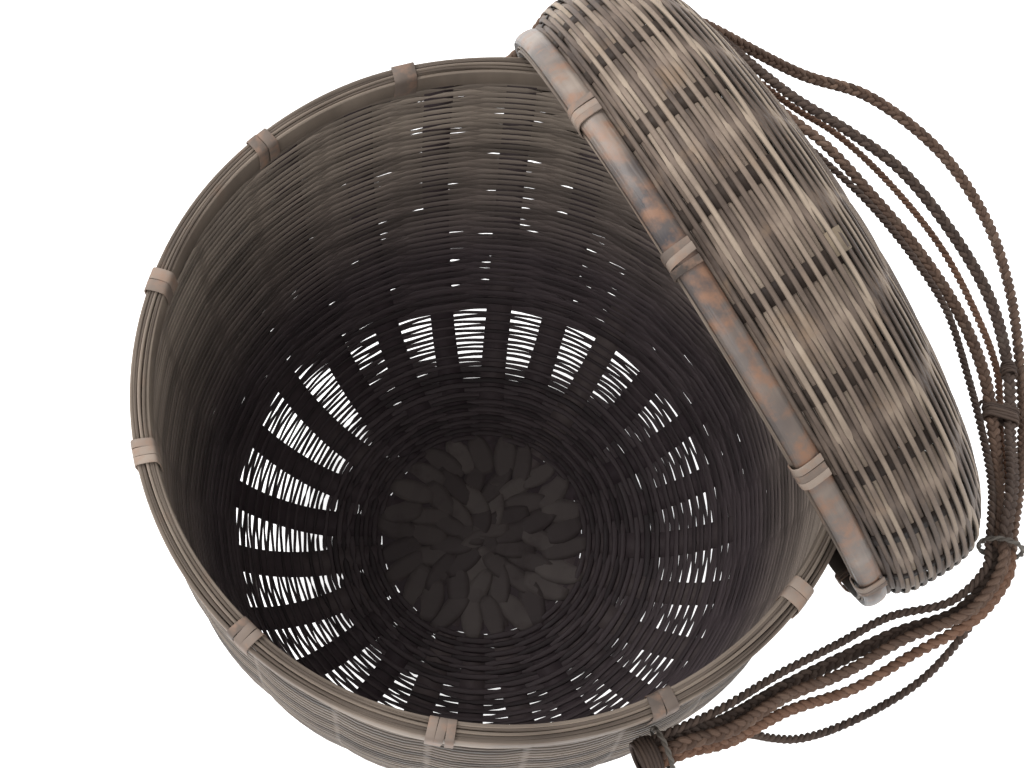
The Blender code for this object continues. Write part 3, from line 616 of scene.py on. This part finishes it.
def darkenHub():
    for slot in bpy.data.objects["base_centre"].material_slots:
        slot.material = hubMaterial


layStakes("stakes_up_the_wall", basketShape, basketWalk, stakeLook, stakeMaterial, "basket", "basket_stakes")
layRosette("rosette_leaves", rosetteLook, rosetteMaterial, "basket")
darkenHub()
print("stage: stakes and rosette laid")


# The rim: hoops, filler canes, collar and bindings

rimLook = {"samples": 192, "stray": 0.0007, "proud": 0.0005, "uneven": 0.16, "strayOrders": (2, 3, 7, 11)}
hoopEdge = 0.0006


def flatSection(thick, width, soft):
    x, y = thick / 2, width / 2
    return [(x, y - soft), (x - soft * 0.5, y), (-x + soft * 0.5, y), (-x, y - soft), (-x, -y + soft),
            (-x + soft * 0.5, -y), (x - soft * 0.5, -y), (x, -y + soft)]


def hoopStrand(radius, height, thick, width):
    return {"r": radius, "z": height, "nr": 1.0, "nz": 0.0, "thick": thick,
            "section": flatSection(thick, width, hoopEdge)}


def caneStrand(radius, height, size):
    return {"r": radius, "z": height, "nr": 1.0, "nz": 0.0, "thick": size,
            "section": roundSection(8, size, size * 1.1, 1.0)}


rimLayers = [
    {"name": "outer_rim_splints", "nodes": ["outer_hoop"], "look": dict(rimLook, seed=52),
     "strands": [hoopStrand(0.1975, 0.3316, 0.0022, 0.0112), hoopStrand(0.1958, 0.3330, 0.0012, 0.0098)]},
    {"name": "inner_rim_splint", "nodes": ["inner_hoop"], "look": dict(rimLook, seed=61, stray=0.0003),
     "strands": [hoopStrand(0.1897, 0.3300, 0.0022, 0.0135), hoopStrand(0.1912, 0.3322, 0.0010, 0.0100)]},
    {"name": "rim_filler_canes", "nodes": ["outer_filler_cane", "inner_filler_cane"],
     "look": dict(rimLook, seed=73, stray=0.0008, proud=0.0007, strayOrders=(3, 5, 8, 13)),
     "strands": [caneStrand(0.1951, 0.3370, 0.0019), caneStrand(0.1932, 0.3374, 0.0018),
                 caneStrand(0.1913, 0.3368, 0.0019)]},
    {"name": "collar_splint", "nodes": ["rim_collar"], "look": dict(rimLook, seed=88, stray=0.0004),
     "strands": [hoopStrand(0.1968, 0.3185, 0.0013, 0.0118)]},
]


def makeRim():
    for layer in rimLayers:
        piece = ringStrands(layer["name"], layer["strands"], layer["look"])
        finishPiece(piece, hoopMaterial, "hoop_splint", "basket", *layer["nodes"])


rimBindings = {
    "places": [-32.0, -59.2, -92.1, -124.5, -157.7, 173.1, 142.5, 114.6, 85.8, 57.1, 28.4, -0.4], "start": 0,
    "turns": [2, 2, 3, 3, 3, 2, 2, 1, 2, 2, 2, 2], "radius": 0.195, "span": 0.0145, "thick": 0.0007, "lean": 0.0006,
    "seed": 97, "step": 0.0009, "skew": 0.0012, "lift": 0.0002, "overlap": 0.98, "cover": 0.47, "bevel": 0.0002,
    "outline": [(0.19975, 0.3225), (0.19985, 0.3300), (0.1997, 0.3358), (0.1985, 0.3384), (0.1950, 0.3391),
                (0.1915, 0.3389), (0.1886, 0.3376), (0.1879, 0.3340), (0.1879, 0.3235)],
}


def bindingPiece(name, look, index):
    bm = bmesh.new()
    dice = np.random.default_rng(look["seed"] + index)
    tones, lengths = [], []
    line = smoothLine(look["outline"], look["step"])[0]
    turns = look["turns"][index]
    width = look["span"] / turns
    for k in range(turns):
        middle = (k - (turns - 1) / 2) * width * look["overlap"]
        skew = look["lean"] + dice.uniform(-look["skew"], look["skew"])
        lift = dice.uniform(-look["lift"], look["lift"])
        centres, halves = [], []
        for point, (r, z) in enumerate(line):
            share = point / (len(line) - 1) - 0.5
            turn = (middle + skew * share * 2) / look["radius"]
            centres.append(Vector(((r + lift) * math.cos(turn), (r + lift) * math.sin(turn), z + lift)))
            halves.append(Vector((-math.sin(turn), math.cos(turn), 0)) * width * look["cover"])
        made = strip(bm, centres, halves)
        tone = dice.uniform(0, 1)
        tones += [tone] * len(made)
        lengths += [look["step"] * (j // 2) + tone * toneShift for j in range(len(made))]
    return solidPiece(name, bm, look["thick"], tones, lengths, look["bevel"])


def bind(look, pieceName, nodeName, body, place):
    for index, degrees in enumerate(look["places"]):
        piece = bindingPiece(f"{pieceName}_{index + 1}", look, index)
        turn = place @ Matrix.Rotation(math.radians(look["start"] + degrees), 4, "Z")
        finishPiece(piece, bindingMaterial, "binding_cane", body, f"{nodeName}_{index + 1}", turn=turn)


makeRim()
bind(rimBindings, "rim_wrap", "rim_binding", "basket", Matrix.Identity(4))
print("stage: rim bound")


# The lid, made upright about its own axis and then put where it hangs

lidPlace = {"centre": (0.105600, 0.074957, 0.2623), "azimuth": math.radians(35.77), "elevation": math.radians(18.43)}
lidTurn = Matrix.Translation(lidPlace["centre"]) @ (
    Matrix.Rotation(lidPlace["azimuth"], 4, "Z") @ Matrix.Rotation(math.pi / 2 - lidPlace["elevation"], 4, "Y"))
lidShape = {
    "profile": [(195.5, 2), (195.6, 12), (198.5, 18.5), (202, 25), (203.3, 42), (202, 60), (197.3, 71.5), (178.6, 85.4),
                (157, 92.6), (134, 97.7), (104, 103.5), (57, 110), (24, 112.4)],
    "stakes": 24, "phase": math.radians(3.5), "depth": 0.00185, "firstRow": 0.0115, "shoulder": 0.0712,
}
lidSideWeave = {"samples": 240, "stakes": 24, "phase": lidShape["phase"], "lift": 0.00135, "hold": 1.1, "uneven": 0.08,
                "stray": 0.00030, "swell": 0.02, "seed": 131, "seam": 0.2, "bunch": 0.0002, "outside": 0.35,
                "meet": 0.30, "pitch": 0.00275, "width": 0.0031, "thick": 0.0019, "sides": 8}
lidTopWeave = dict(lidSideWeave, samples=144, lift=0.0008, stray=0.00018, uneven=0.05, meet=0.35, seed=151,
                   pitch=0.0030, width=0.0036, thick=0.0016, sides=6)


def weaveLid():
    walk = profileWalk(lidShape["profile"], lidShape["depth"])
    shoulder = walk.reach(height=lidShape["shoulder"])
    for name, start, end, look, node in (
            ("lid_side_wefts", lidShape["firstRow"], shoulder, lidSideWeave, "lid_side_weave"),
            ("lid_top_wefts", shoulder, walk.length, lidTopWeave, "lid_top_weave")):
        weave(name, walk, start, end, look, lidMaterial, "lid_weave", "lid", node, lidTurn)
    print("stage: lid woven")
    return walk


lidWalk = weaveLid()
lidStakeLook = dict(stakeLook, width=0.0105, fill=0.50, seed=15, growth=(0.92, 1.05), waver=0, steps=48, hubRadii=(),
                    tip=(0.002, 0.0004, 0.0005), fibreStep=0.006)
lidPatch = {"turn": math.radians(197), "from": 0.0640, "length": 0.0150, "width": 0.0125, "out": 0.0011,
            "thick": 0.0009, "steps": 8, "tone": 0.6, "fibreStep": 0.002}


# a short paler splint worked in where the lid's side turns to its top
def layLidPatch():
    bm = bmesh.new()
    along = Vector((math.cos(lidPatch["turn"]), math.sin(lidPatch["turn"]), 0))
    across = Vector((-along.y, along.x, 0)) * lidPatch["width"] / 2
    start = lidWalk.reach(height=lidPatch["from"])
    centres = []
    for step in np.linspace(start, start + lidPatch["length"], lidPatch["steps"]):
        r, z, nr, nz = lidWalk.at(step)
        centres.append(along * (r + nr * lidPatch["out"]) + Vector((0, 0, z + nz * lidPatch["out"])))
    made = strip(bm, centres, [across] * len(centres))
    lengths = [lidPatch["fibreStep"] * (k // 2) for k in range(len(made))]
    piece = solidPiece("lid_patch_splint", bm, lidPatch["thick"], [lidPatch["tone"]] * len(made), lengths)
    finishPiece(piece, patchMaterial, "lid_weave", "lid", turn=lidTurn)


bandLook = {"samples": 192, "seed": 171, "stray": 0.00035, "proud": 0.0003, "uneven": 0.03}
lidBand = {
    "r": 0.1960, "z": 0.0073, "nr": 1.0, "nz": 0.0, "thick": 0.0058,
    "section": [(0.0, 0.0072), (0.0010, 0.0066), (0.0021, 0.0048), (0.0028, 0.0022), (0.0029, 0.0), (0.0028, -0.0022),
                (0.0021, -0.0048), (0.0010, -0.0066), (0.0, -0.0072), (-0.0004, 0.0)],
}
lidHoops = [hoopStrand(0.1905, 0.0060, 0.0019, 0.0135), hoopStrand(0.1925, 0.0045, 0.0009, 0.0090)]
# places in degrees from the lid's top
lidBindings = dict(
    rimBindings, places=[-20, 8, 44, 76, 116, 156, -164, -128, -92], start=180, turns=[3, 3, 3, 2, 3, 2, 3, 2, 2],
    radius=0.196, span=0.0140, thick=0.0008, lean=0.0015, seed=300,
    outline=[(0.1992, 0.0140), (0.19965, 0.0072), (0.1990, 0.0010), (0.1965, -0.0013), (0.1930, -0.0017),
             (0.1900, -0.0015), (0.1889, 0.0012), (0.1889, 0.0120)])


def makeLidRim():
    piece = ringStrands("lid_round_band", [lidBand], bandLook)
    finishPiece(piece, bandMaterial, "lid_band", "lid", "lid_band", turn=lidTurn)
    inner = ringStrands("lid_inner_splints", lidHoops, dict(bandLook, seed=181))
    finishPiece(inner, hoopMaterial, "hoop_splint", "lid", "lid_inner_hoop", turn=lidTurn)
    bind(lidBindings, "lid_wrap", "lid_binding", "lid", lidTurn)


lidRosette = dict(rosetteLook, level=0.1109, dome=0.0004, tilt=0.0007, seed=19,
                  rings=[(0.0255, 13, 0.0150, 0.022), (0.0125, 7, 0.0135, 0.020), (0.003, 3, 0.0120, 0.015)])
layLidPatch()
layStakes("lid_stakes_bent", lidShape, lidWalk, lidStakeLook, lidStakeShadeMaterial, "lid", "lid_stakes", lidTurn)
layRosette("crown_leaves", lidRosette, lidMaterial, "lid", turn=lidTurn)
makeLidRim()
print("stage: lid finished")


# Cords: routes in millimetres, three strands plaited or two twisted along each

cordGrain = {
    "along": 140.0, "across": 9.0, "toneJump": 37.0, "hair": (4.0, 0.65), "hairShare": 0.55, "slowAlong": 9.0,
    "slowTone": 3.0, "slow": (2.0, 0.5), "slowShare": 0.75, "level": (0.38, 0.95), "middle": 0.45, "dustScale": 60.0,
    "dust": (3.0, 0.6), "dustLevel": (0.55, 0.75, 0.0, 0.35), "rough": 0.72, "shine": 0.3, "grain": 0.6,
    "depth": 0.0005,
}


def cordFinish(name, look):
    m = finishMaker(name)
    along, facing, tone = m.split(m.attribute("strand"))[:3]
    hairSpace = m.join(m.maths("MULTIPLY", along, cordGrain["along"]), m.maths("MULTIPLY", facing, cordGrain["across"]),
                       m.maths("MULTIPLY", tone, cordGrain["toneJump"]))
    hairs = m.noise(hairSpace, 1.0, *cordGrain["hair"])
    slowSpace = m.join(m.maths("MULTIPLY", along, cordGrain["slowAlong"]),
                       m.maths("MULTIPLY", tone, cordGrain["slowTone"]), 0.0)
    slow = m.noise(slowSpace, 1.0, *cordGrain["slow"])
    level = m.spread(m.weigh((hairs, cordGrain["hairShare"]), (slow, cordGrain["slowShare"])), *cordGrain["level"])
    colour = m.ramp(level, [(0.0, look["dark"]), (cordGrain["middle"], look["middle"]), (1.0, look["light"])])
    dust = m.noise(m.coords.outputs["Object"], cordGrain["dustScale"], *cordGrain["dust"])
    colour = m.mix(m.spread(dust, *cordGrain["dustLevel"]), colour, look["dust"])
    m.link(colour, m.shader.inputs["Base Color"])
    m.shader.inputs["Roughness"].default_value = cordGrain["rough"]
    m.shader.inputs["Specular IOR Level"].default_value = cordGrain["shine"]
    m.bump(hairs, cordGrain["grain"], cordGrain["depth"])
    return m.material


brownCord = {"dark": (0.045, 0.027, 0.020), "middle": (0.130, 0.080, 0.057), "light": (0.30, 0.195, 0.14),
             "dust": (0.26, 0.205, 0.16)}
darkCord = {"dark": (0.030, 0.021, 0.018), "middle": (0.080, 0.054, 0.043), "light": (0.19, 0.135, 0.105),
            "dust": (0.18, 0.145, 0.12)}
redCord = {"dark": (0.065, 0.031, 0.020), "middle": (0.185, 0.098, 0.062), "light": (0.38, 0.225, 0.15),
           "dust": (0.28, 0.20, 0.15)}
brownMaterial = cordFinish("brownPlait", brownCord)
darkMaterial = cordFinish("darkPlait", darkCord)
redMaterial = cordFinish("redPlait", redCord)

thick, thin = 0.0062, 0.0042
lugWay = Vector((0.8660254, 0.5, 0))
nearWay = (lidTurn.to_3x3() @ Vector((0.358, 0.701, 0.617))).normalized()
farWay = (lidTurn.to_3x3() @ Vector((0.358, -0.701, 0.617))).normalized()
lugCentres = {"near": Vector((0.1060, -0.1836, 0.285)), "far": Vector((-0.1060, 0.1836, 0.285))}
cordRoutes = {
    "near_cord_1": (thin, darkMaterial, [
        (103, -178, 288), (115, -171, 288), (139, -156, 280), (172, -131, 270), (204, -110, 269), (231, -92, 272),
        (263, -81, 284), (279, -61.6, 290.1), (281.5, -47.6, 288.8)]),
    "near_cord_2": (thick, darkMaterial, [
        (105, -181, 283), (117, -174, 283), (141, -162, 275), (176, -137, 262), (209, -116, 261), (238, -99, 266),
        (269, -85, 278), (284.7, -62.6, 286.6), (287.2, -48.6, 285.2)]),
    "near_cord_3": (thick, brownMaterial, [
        (107, -185, 290), (119, -178, 290), (144, -167, 283), (176, -143, 271), (209, -125, 269), (239, -104, 273),
        (272, -86, 290), (287.5, -62, 294.3), (289, -48, 293.1)]),
    "near_cord_4": (thick, redMaterial, [
        (109, -188, 283), (121, -181, 283), (146, -171, 273), (181, -148, 257), (217, -131, 253), (248, -109, 260),
        (277, -88, 283), (292, -63.2, 288.9), (294.4, -49.2, 286.6)]),
    "near_cord_5": (thin, darkMaterial, [
        (107, -185, 278), (120, -177, 278), (144, -166, 267), (191, -160, 241), (228, -142, 235), (261, -117, 243),
        (280, -88, 266), (289.3, -63.8, 282.1), (291.7, -49.7, 280.8)]),
    "handle_cord_1": (thick, brownMaterial, [
        (294.4, -49.2, 286.6), (296.7, -36.2, 284.3), (305, -9, 272), (320, 42, 246), (325, 89, 230), (324, 152, 217),
        (311, 206, 211), (279, 255, 211), (226, 285, 221), (174, 287, 234), (94, 291, 272), (61, 290.6, 284.4),
        (47.1, 293.2, 286.6)]),
    "handle_cord_2": (thick, darkMaterial, [
        (289, -48, 293.1), (291.3, -34, 290.8), (299, -7, 280), (309, 37, 252), (314, 85, 238), (307, 135, 229),
        (285, 182, 224), (247, 228, 225), (207, 250, 231), (170, 263, 240), (93, 283, 281), (60.8, 286, 290.8),
        (46.9, 288.7, 293)]),
    "handle_cord_3": (thick, brownMaterial, [
        (287.2, -48.6, 285.2), (288.5, -34.7, 283.1), (295, -8, 270), (299, 35, 252), (297, 78, 242), (284, 123, 233),
        (260, 165, 228), (225, 205, 229), (194, 232, 235), (164, 248, 242), (91, 280, 269), (59.1, 283.4, 283.1),
        (46.1, 286.1, 285.2)]),
    "handle_cord_4": (thin, redMaterial, [
        (291.7, -49.7, 280.8), (294.1, -36.8, 278.6), (303, -10, 264), (308, 43, 239), (311, 88, 227),
        (300, 136, 216), (279, 183, 210), (241, 228, 211), (204, 254, 218), (171, 265, 227), (92, 288, 264),
        (59.4, 289.1, 278.6), (45.5, 290.8, 280.9)]),
    "handle_cord_5": (thin, darkMaterial, [
        (281.5, -47.6, 288.8), (283.8, -33.6, 286.5), (289, -6, 274), (289, 31, 260), (283, 71, 252), (272, 117, 245),
        (252, 152, 242), (222, 188, 242), (187, 216, 246), (156, 235, 252), (90, 272, 274), (58.6, 278.6, 286.5),
        (45.7, 280.3, 288.7)]),
    "far_cord_1": (thick, darkMaterial, [
        (-105, 181, 283), (-93, 188, 283), (-65, 205, 262), (-36, 232, 241), (-8, 262, 245), (9, 278, 269),
        (31.2, 287.6, 286.7), (46.1, 286.1, 285.2)]),
    "far_cord_2": (thick, brownMaterial, [
        (-107, 185, 290), (-95, 192, 290), (-65, 212, 270), (-39, 237, 250), (-16, 263, 252), (2, 279, 279),
        (33, 291.3, 295.3), (46.9, 288.7, 293)]),
    "far_cord_3": (thick, redMaterial, [
        (-109, 188, 283), (-96, 195, 283), (-71, 214, 261), (-42, 240, 241), (-15, 271, 244), (4, 287, 271),
        (33.1, 296.9, 288.8), (47.1, 293.2, 286.6)]),
}
plaitLook = {
    "plait": {"strands": 3, "wide": 0.0023, "deep": 0.0011, "size": 0.00185, "pitch": 0.0165},
    "twist": {"strands": 2, "wide": 0.00125, "deep": 0.00125, "size": 0.00140, "pitch": 0.0085},
}
cordWaver = {"pitch": 0.06, "pitchWaves": 23, "roll": 0.5, "rollWaves": 17, "start": 6, "turn": 3}
cordSeed = 400


def cordLine(name, route):
    points = [Vector(point) / 1000 for point in route]
    start, end = nearWay, -farWay
    if not name.startswith("handle"):
        start = lugWay
        side = name.split("_")[0]
        end = nearWay if side == "near" else farWay
        points[0] += start * (lugCentres[side] - points[0]).dot(start)
    points[1] = points[0] + start * (points[1] - points[0]).length
    points[-2] = points[-1] - end * (points[-1] - points[-2]).length
    return smoothLine([tuple(point) for point in points], 0.0014)


def carriedAxes(line):
    ahead = np.gradient(line, axis=0)
    ahead /= np.linalg.norm(ahead, axis=1)[:, None]
    side = np.cross(ahead[0], (0, 0, 1.0))
    side /= np.linalg.norm(side)
    sides = []
    for way in ahead:
        side = side - way * side.dot(way)
        side = side / np.linalg.norm(side)
        sides.append(side)
    sides = np.array(sides)
    return sides, np.cross(ahead, sides)


def strandTubes(name, lines, size, tones, smooth=2):
    curve = bpy.data.curves.new(name, "CURVE")
    curve.dimensions = "3D"
    curve.bevel_depth = size
    curve.bevel_resolution = smooth
    curve.use_fill_caps = True
    for line in lines:
        spline = curve.splines.new("POLY")
        spline.points.add(len(line) - 1)
        spline.points.foreach_set("co", np.c_[line, np.ones(len(line))].astype(np.float32).ravel())
    holder = bpy.data.objects.new(name + "_line", curve)
    bpy.context.scene.collection.objects.link(holder)
    made = bpy.data.meshes.new_from_object(holder.evaluated_get(bpy.context.evaluated_depsgraph_get()))
    mesh = made.copy()
    mesh.name = name
    bpy.data.objects.remove(holder)
    sides = 4 + 2 * smooth
    length, facing, tone = [], [], []
    for line, own in zip(lines, tones):
        steps = np.r_[0, np.cumsum(np.linalg.norm(np.diff(line, axis=0), axis=1))]
        length.append(np.repeat(steps + own * 7, sides))
        facing.append(np.tile(np.cos(np.arange(sides) * turnAround / sides), len(line)))
        tone.append(np.full(len(line) * sides, own))
    length, facing, tone = (np.concatenate(values) for values in (length, facing, tone))
    count = len(mesh.vertices)
    setStrand(mesh, np.resize(length, count), np.resize(facing, count), np.resize(tone, count))
    mesh.shade_smooth()
    return placed(name, mesh)


def makeCord(node, diameter, material, route, seed):
    line, length = cordLine(node, route)
    look = plaitLook["plait" if diameter == thick else "twist"]
    sides, ups = carriedAxes(line)
    steps = np.linspace(0, length, len(line))
    dice = np.random.default_rng(seed)
    pitch = look["pitch"] * (1 + cordWaver["pitch"] * np.sin(
        steps * cordWaver["pitchWaves"] + dice.uniform(0, cordWaver["start"])))
    angle = np.cumsum(np.r_[0, np.diff(steps)] / pitch) * turnAround
    roll = cordWaver["roll"] * np.sin(steps * cordWaver["rollWaves"] + dice.uniform(0, cordWaver["start"]))
    roll = (roll + dice.uniform(0, cordWaver["turn"]))[:, None]
    sides, ups = sides * np.cos(roll) + ups * np.sin(roll), ups * np.cos(roll) - sides * np.sin(roll)
    lines = []
    for k in range(look["strands"]):
        turn = angle + turnAround * k / look["strands"]
        wide = look["wide"] * np.sin(turn)
        deep = look["deep"] * (np.sin(2 * turn) if look["strands"] == 3 else np.cos(turn))
        lines.append(line + sides * wide[:, None] + ups * deep[:, None])
    tones = dice.uniform(0, 1, look["strands"])
    piece = strandTubes(node.replace("cord", "plait"), lines, look["size"], tones)
    piece.data.materials.append(material)
    if node.startswith("handle"):
        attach(piece, "lid")
    else:
        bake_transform(piece)
    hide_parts(node)
    return line


cordLines = {}
for number, (node, (diameter, material, route)) in enumerate(cordRoutes.items()):
    cordLines[node] = makeCord(node, diameter, material, route, cordSeed + number)
print("stage: cords plaited")


# Rings, lugs, whippings, the knot and the lashing

guideLook = {"radius": 0.0117, "cane": 0.00085, "twist": 0.00072, "turns": 7, "tones": [0.3, 0.8]}
# each tone is one turn of the whipping, counted back from the lug
whippingLook = {"tones": [0.1, 0.5, 0.9, 0.3, 0.7, 0.2], "radius": 0.0101, "dip": 0.0012, "back": 0.00015,
                "start": 0.0011, "step": 0.0019, "size": 0.0011, "points": 48}


def coil(centre, normal, radius, twistRadius, turns, strands, points=72):
    normal = Vector(normal).normalized()
    side = normal.orthogonal().normalized()
    up = normal.cross(side)
    lines = []
    for k in range(strands):
        line = []
        for index in range(points + 1):
            turn = turnAround * index / points
            out = side * math.cos(turn) + up * math.sin(turn)
            roll = turns * turn + turnAround * k / strands
            line.append(Vector(centre) + out * (radius + twistRadius * math.cos(roll))
                        + normal * twistRadius * math.sin(roll))
        lines.append(np.array([tuple(point) for point in line]))
    return lines


def boxCentre(node):
    low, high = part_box(node)
    return (low + high) / 2


def makeGuides():
    for node, way, body in (("near_lid_ring", nearWay, "lid"), ("far_lid_ring", farWay, "lid"),
                            ("near_lug", lugWay, "basket"), ("far_lug", lugWay, "basket")):
        lines = coil(boxCentre(node), way, guideLook["radius"], guideLook["twist"], guideLook["turns"], 2)
        piece = strandTubes(node + "_twisted", lines, guideLook["cane"], guideLook["tones"])
        finishPiece(piece, ringMaterial, "guide_ring", body, node)
    look = whippingLook
    half = (len(look["tones"]) - 1) / 2
    for side in ("near", "far"):
        centre = lugCentres[side] - lugWay * look["back"]
        lines = []
        for k in range(len(look["tones"])):
            radius = look["radius"] - look["dip"] * abs(k - half) / half
            place = centre - lugWay * (look["start"] + look["step"] * k)
            lines += coil(place, lugWay, radius, 0.0, 1, 1, look["points"])
        piece = strandTubes(side + "_lug_winding", lines, look["size"], look["tones"])
        finishPiece(piece, darkMaterial, "dark_cord", "basket", side + "_lug_whipping")


knotLook = {"core": 0.0031, "wrap": 1.15, "points": 28, "spacing": 1.9, "bump": 0.10, "bumps": 2.3, "reach": 4,
            "endBack": 9, "endDrop": (0.006, 0.014), "endLean": 0.004, "endSway": 0.003, "endBends": 5, "endPoints": 12}
knots = [
    {"name": "knot_winding", "node": "handle_knot", "turns": 5, "size": 0.0011, "ends": 3, "seed": 7,
     "round": ["handle_cord_2", "handle_cord_3"]},
    {"name": "lashing_winding", "node": "handle_lashing", "turns": 5, "size": 0.0009, "ends": 0, "seed": 8,
     "round": ["handle_cord_2", "handle_cord_2"]},
]


def nearestOn(line, spot):
    return int(np.argmin(np.linalg.norm(line - spot, axis=1)))


def woundKnot(name, node, turns, size, ends, seed, round):
    look = knotLook
    centre = np.array(boxCentre(node))
    near, far = cordLines[round[0]], cordLines[round[1]]
    index = nearestOn(near, centre)
    along = near[min(index + look["reach"], len(near) - 1)] - near[index - look["reach"]]
    along /= np.linalg.norm(along)
    other = far[nearestOn(far, centre)]
    across = other - near[index]
    across -= along * across.dot(along)
    reach = np.linalg.norm(across) / 2
    across = across / np.linalg.norm(across) if reach > 1e-6 else np.array(Vector(along).orthogonal().normalized())
    third = np.cross(along, across)
    middle = (near[index] + other) / 2
    dice = np.random.default_rng(seed)
    radius = look["core"] + size * look["wrap"]
    points = turns * look["points"]
    line = []
    for step in range(points + 1):
        turn = turnAround * step / look["points"]
        c, s = math.cos(turn), math.sin(turn)
        shift = (step / points - 0.5) * turns * size * look["spacing"]
        bump = 1 + look["bump"] * math.sin(turn * look["bumps"] + seed)
        spread = math.copysign(reach, c) * min(1, abs(c) * 3) + radius * c * bump
        line.append(middle + along * shift + across * spread + third * radius * s * bump)
    lines = [np.array(line)]
    for k in range(ends):
        start = np.array(line[-1 - look["endBack"] * k])
        drop = np.array((0, 0, -dice.uniform(*look["endDrop"])))
        lean = across * dice.uniform(-look["endLean"], look["endLean"])
        lean = lean + third * dice.uniform(-look["endLean"], look["endLean"])
        lines.append(np.array([start + (lean + drop) * t + along * look["endSway"] * math.sin(t * look["endBends"] + k)
                               for t in np.linspace(0, 1, look["endPoints"])]))
    piece = strandTubes(name, lines, size, list(dice.uniform(0, 1, len(lines))))
    finishPiece(piece, darkMaterial, "dark_cord", "lid", node)


makeGuides()
for knot in knots:
    woundKnot(**knot)
print("stage: rings, lugs and knot made")


# Floor and light

stageLook = {"floorGlow": 0.88, "floorColour": (0.80, 0.80, 0.80), "floorSize": 8, "floorDrop": 0.0006,
             "floorRough": 0.9, "sky": 0.62}


def makeStage():
    bpy.ops.mesh.primitive_plane_add(size=stageLook["floorSize"], location=(0, 0, -stageLook["floorDrop"]))
    floor = bpy.context.object
    floor.name = "floor"
    m = finishMaker("paleFloor")
    m.shader.inputs["Base Color"].default_value = (*stageLook["floorColour"], 1)
    m.shader.inputs["Roughness"].default_value = stageLook["floorRough"]
    rays = m.tree.nodes.new("ShaderNodeLightPath")
    seen = m.maths("MAXIMUM", rays.outputs["Is Camera Ray"],
                   m.maths("MAXIMUM", rays.outputs["Is Glossy Ray"], rays.outputs["Is Transmission Ray"]))
    m.shader.inputs["Emission Color"].default_value = (1, 1, 1, 1)
    m.link(m.maths("MULTIPLY", seen, stageLook["floorGlow"]), m.shader.inputs["Emission Strength"])
    floor.data.materials.append(m.material)
    world = bpy.data.worlds.new("softWhite")
    bpy.context.scene.world = world
    world.use_nodes = True
    tree = world.node_tree
    ground = tree.nodes["Background"]
    ground.inputs["Color"].default_value = (1, 1, 1, 1)
    rays = tree.nodes.new("ShaderNodeLightPath")
    level = tree.nodes.new("ShaderNodeMapRange")
    level.inputs["To Min"].default_value = stageLook["sky"]
    level.inputs["To Max"].default_value = 1.0
    tree.links.new(rays.outputs["Is Camera Ray"], level.inputs["Value"])
    tree.links.new(level.outputs[0], ground.inputs["Strength"])


lamps = [
    {"name": "softFromLeft", "place": (-0.9, 0.55, 1.25), "size": 0.9, "power": 14.0},
    {"name": "softFromFront", "place": (-0.3, -1.1, 1.2), "size": 0.8, "power": 7.0},
    {"name": "softFromRight", "place": (1.2, 0.3, 1.0), "size": 0.8, "power": 4.0},
]
lampAim = (0.05, 0.03, 0.25)


def makeLamps():
    for lamp in lamps:
        data = bpy.data.lights.new(lamp["name"], "AREA")
        data.energy = lamp["power"]
        data.size = lamp["size"]
        light = bpy.data.objects.new(lamp["name"], data)
        way = Vector(lampAim) - Vector(lamp["place"])
        light.rotation_euler = way.to_track_quat("-Z", "Y").to_euler()
        light.location = lamp["place"]
        bpy.context.scene.collection.objects.link(light)


makeStage()
makeLamps()
print("stage: floor and lamps set")

bpy.context.view_layer.update()
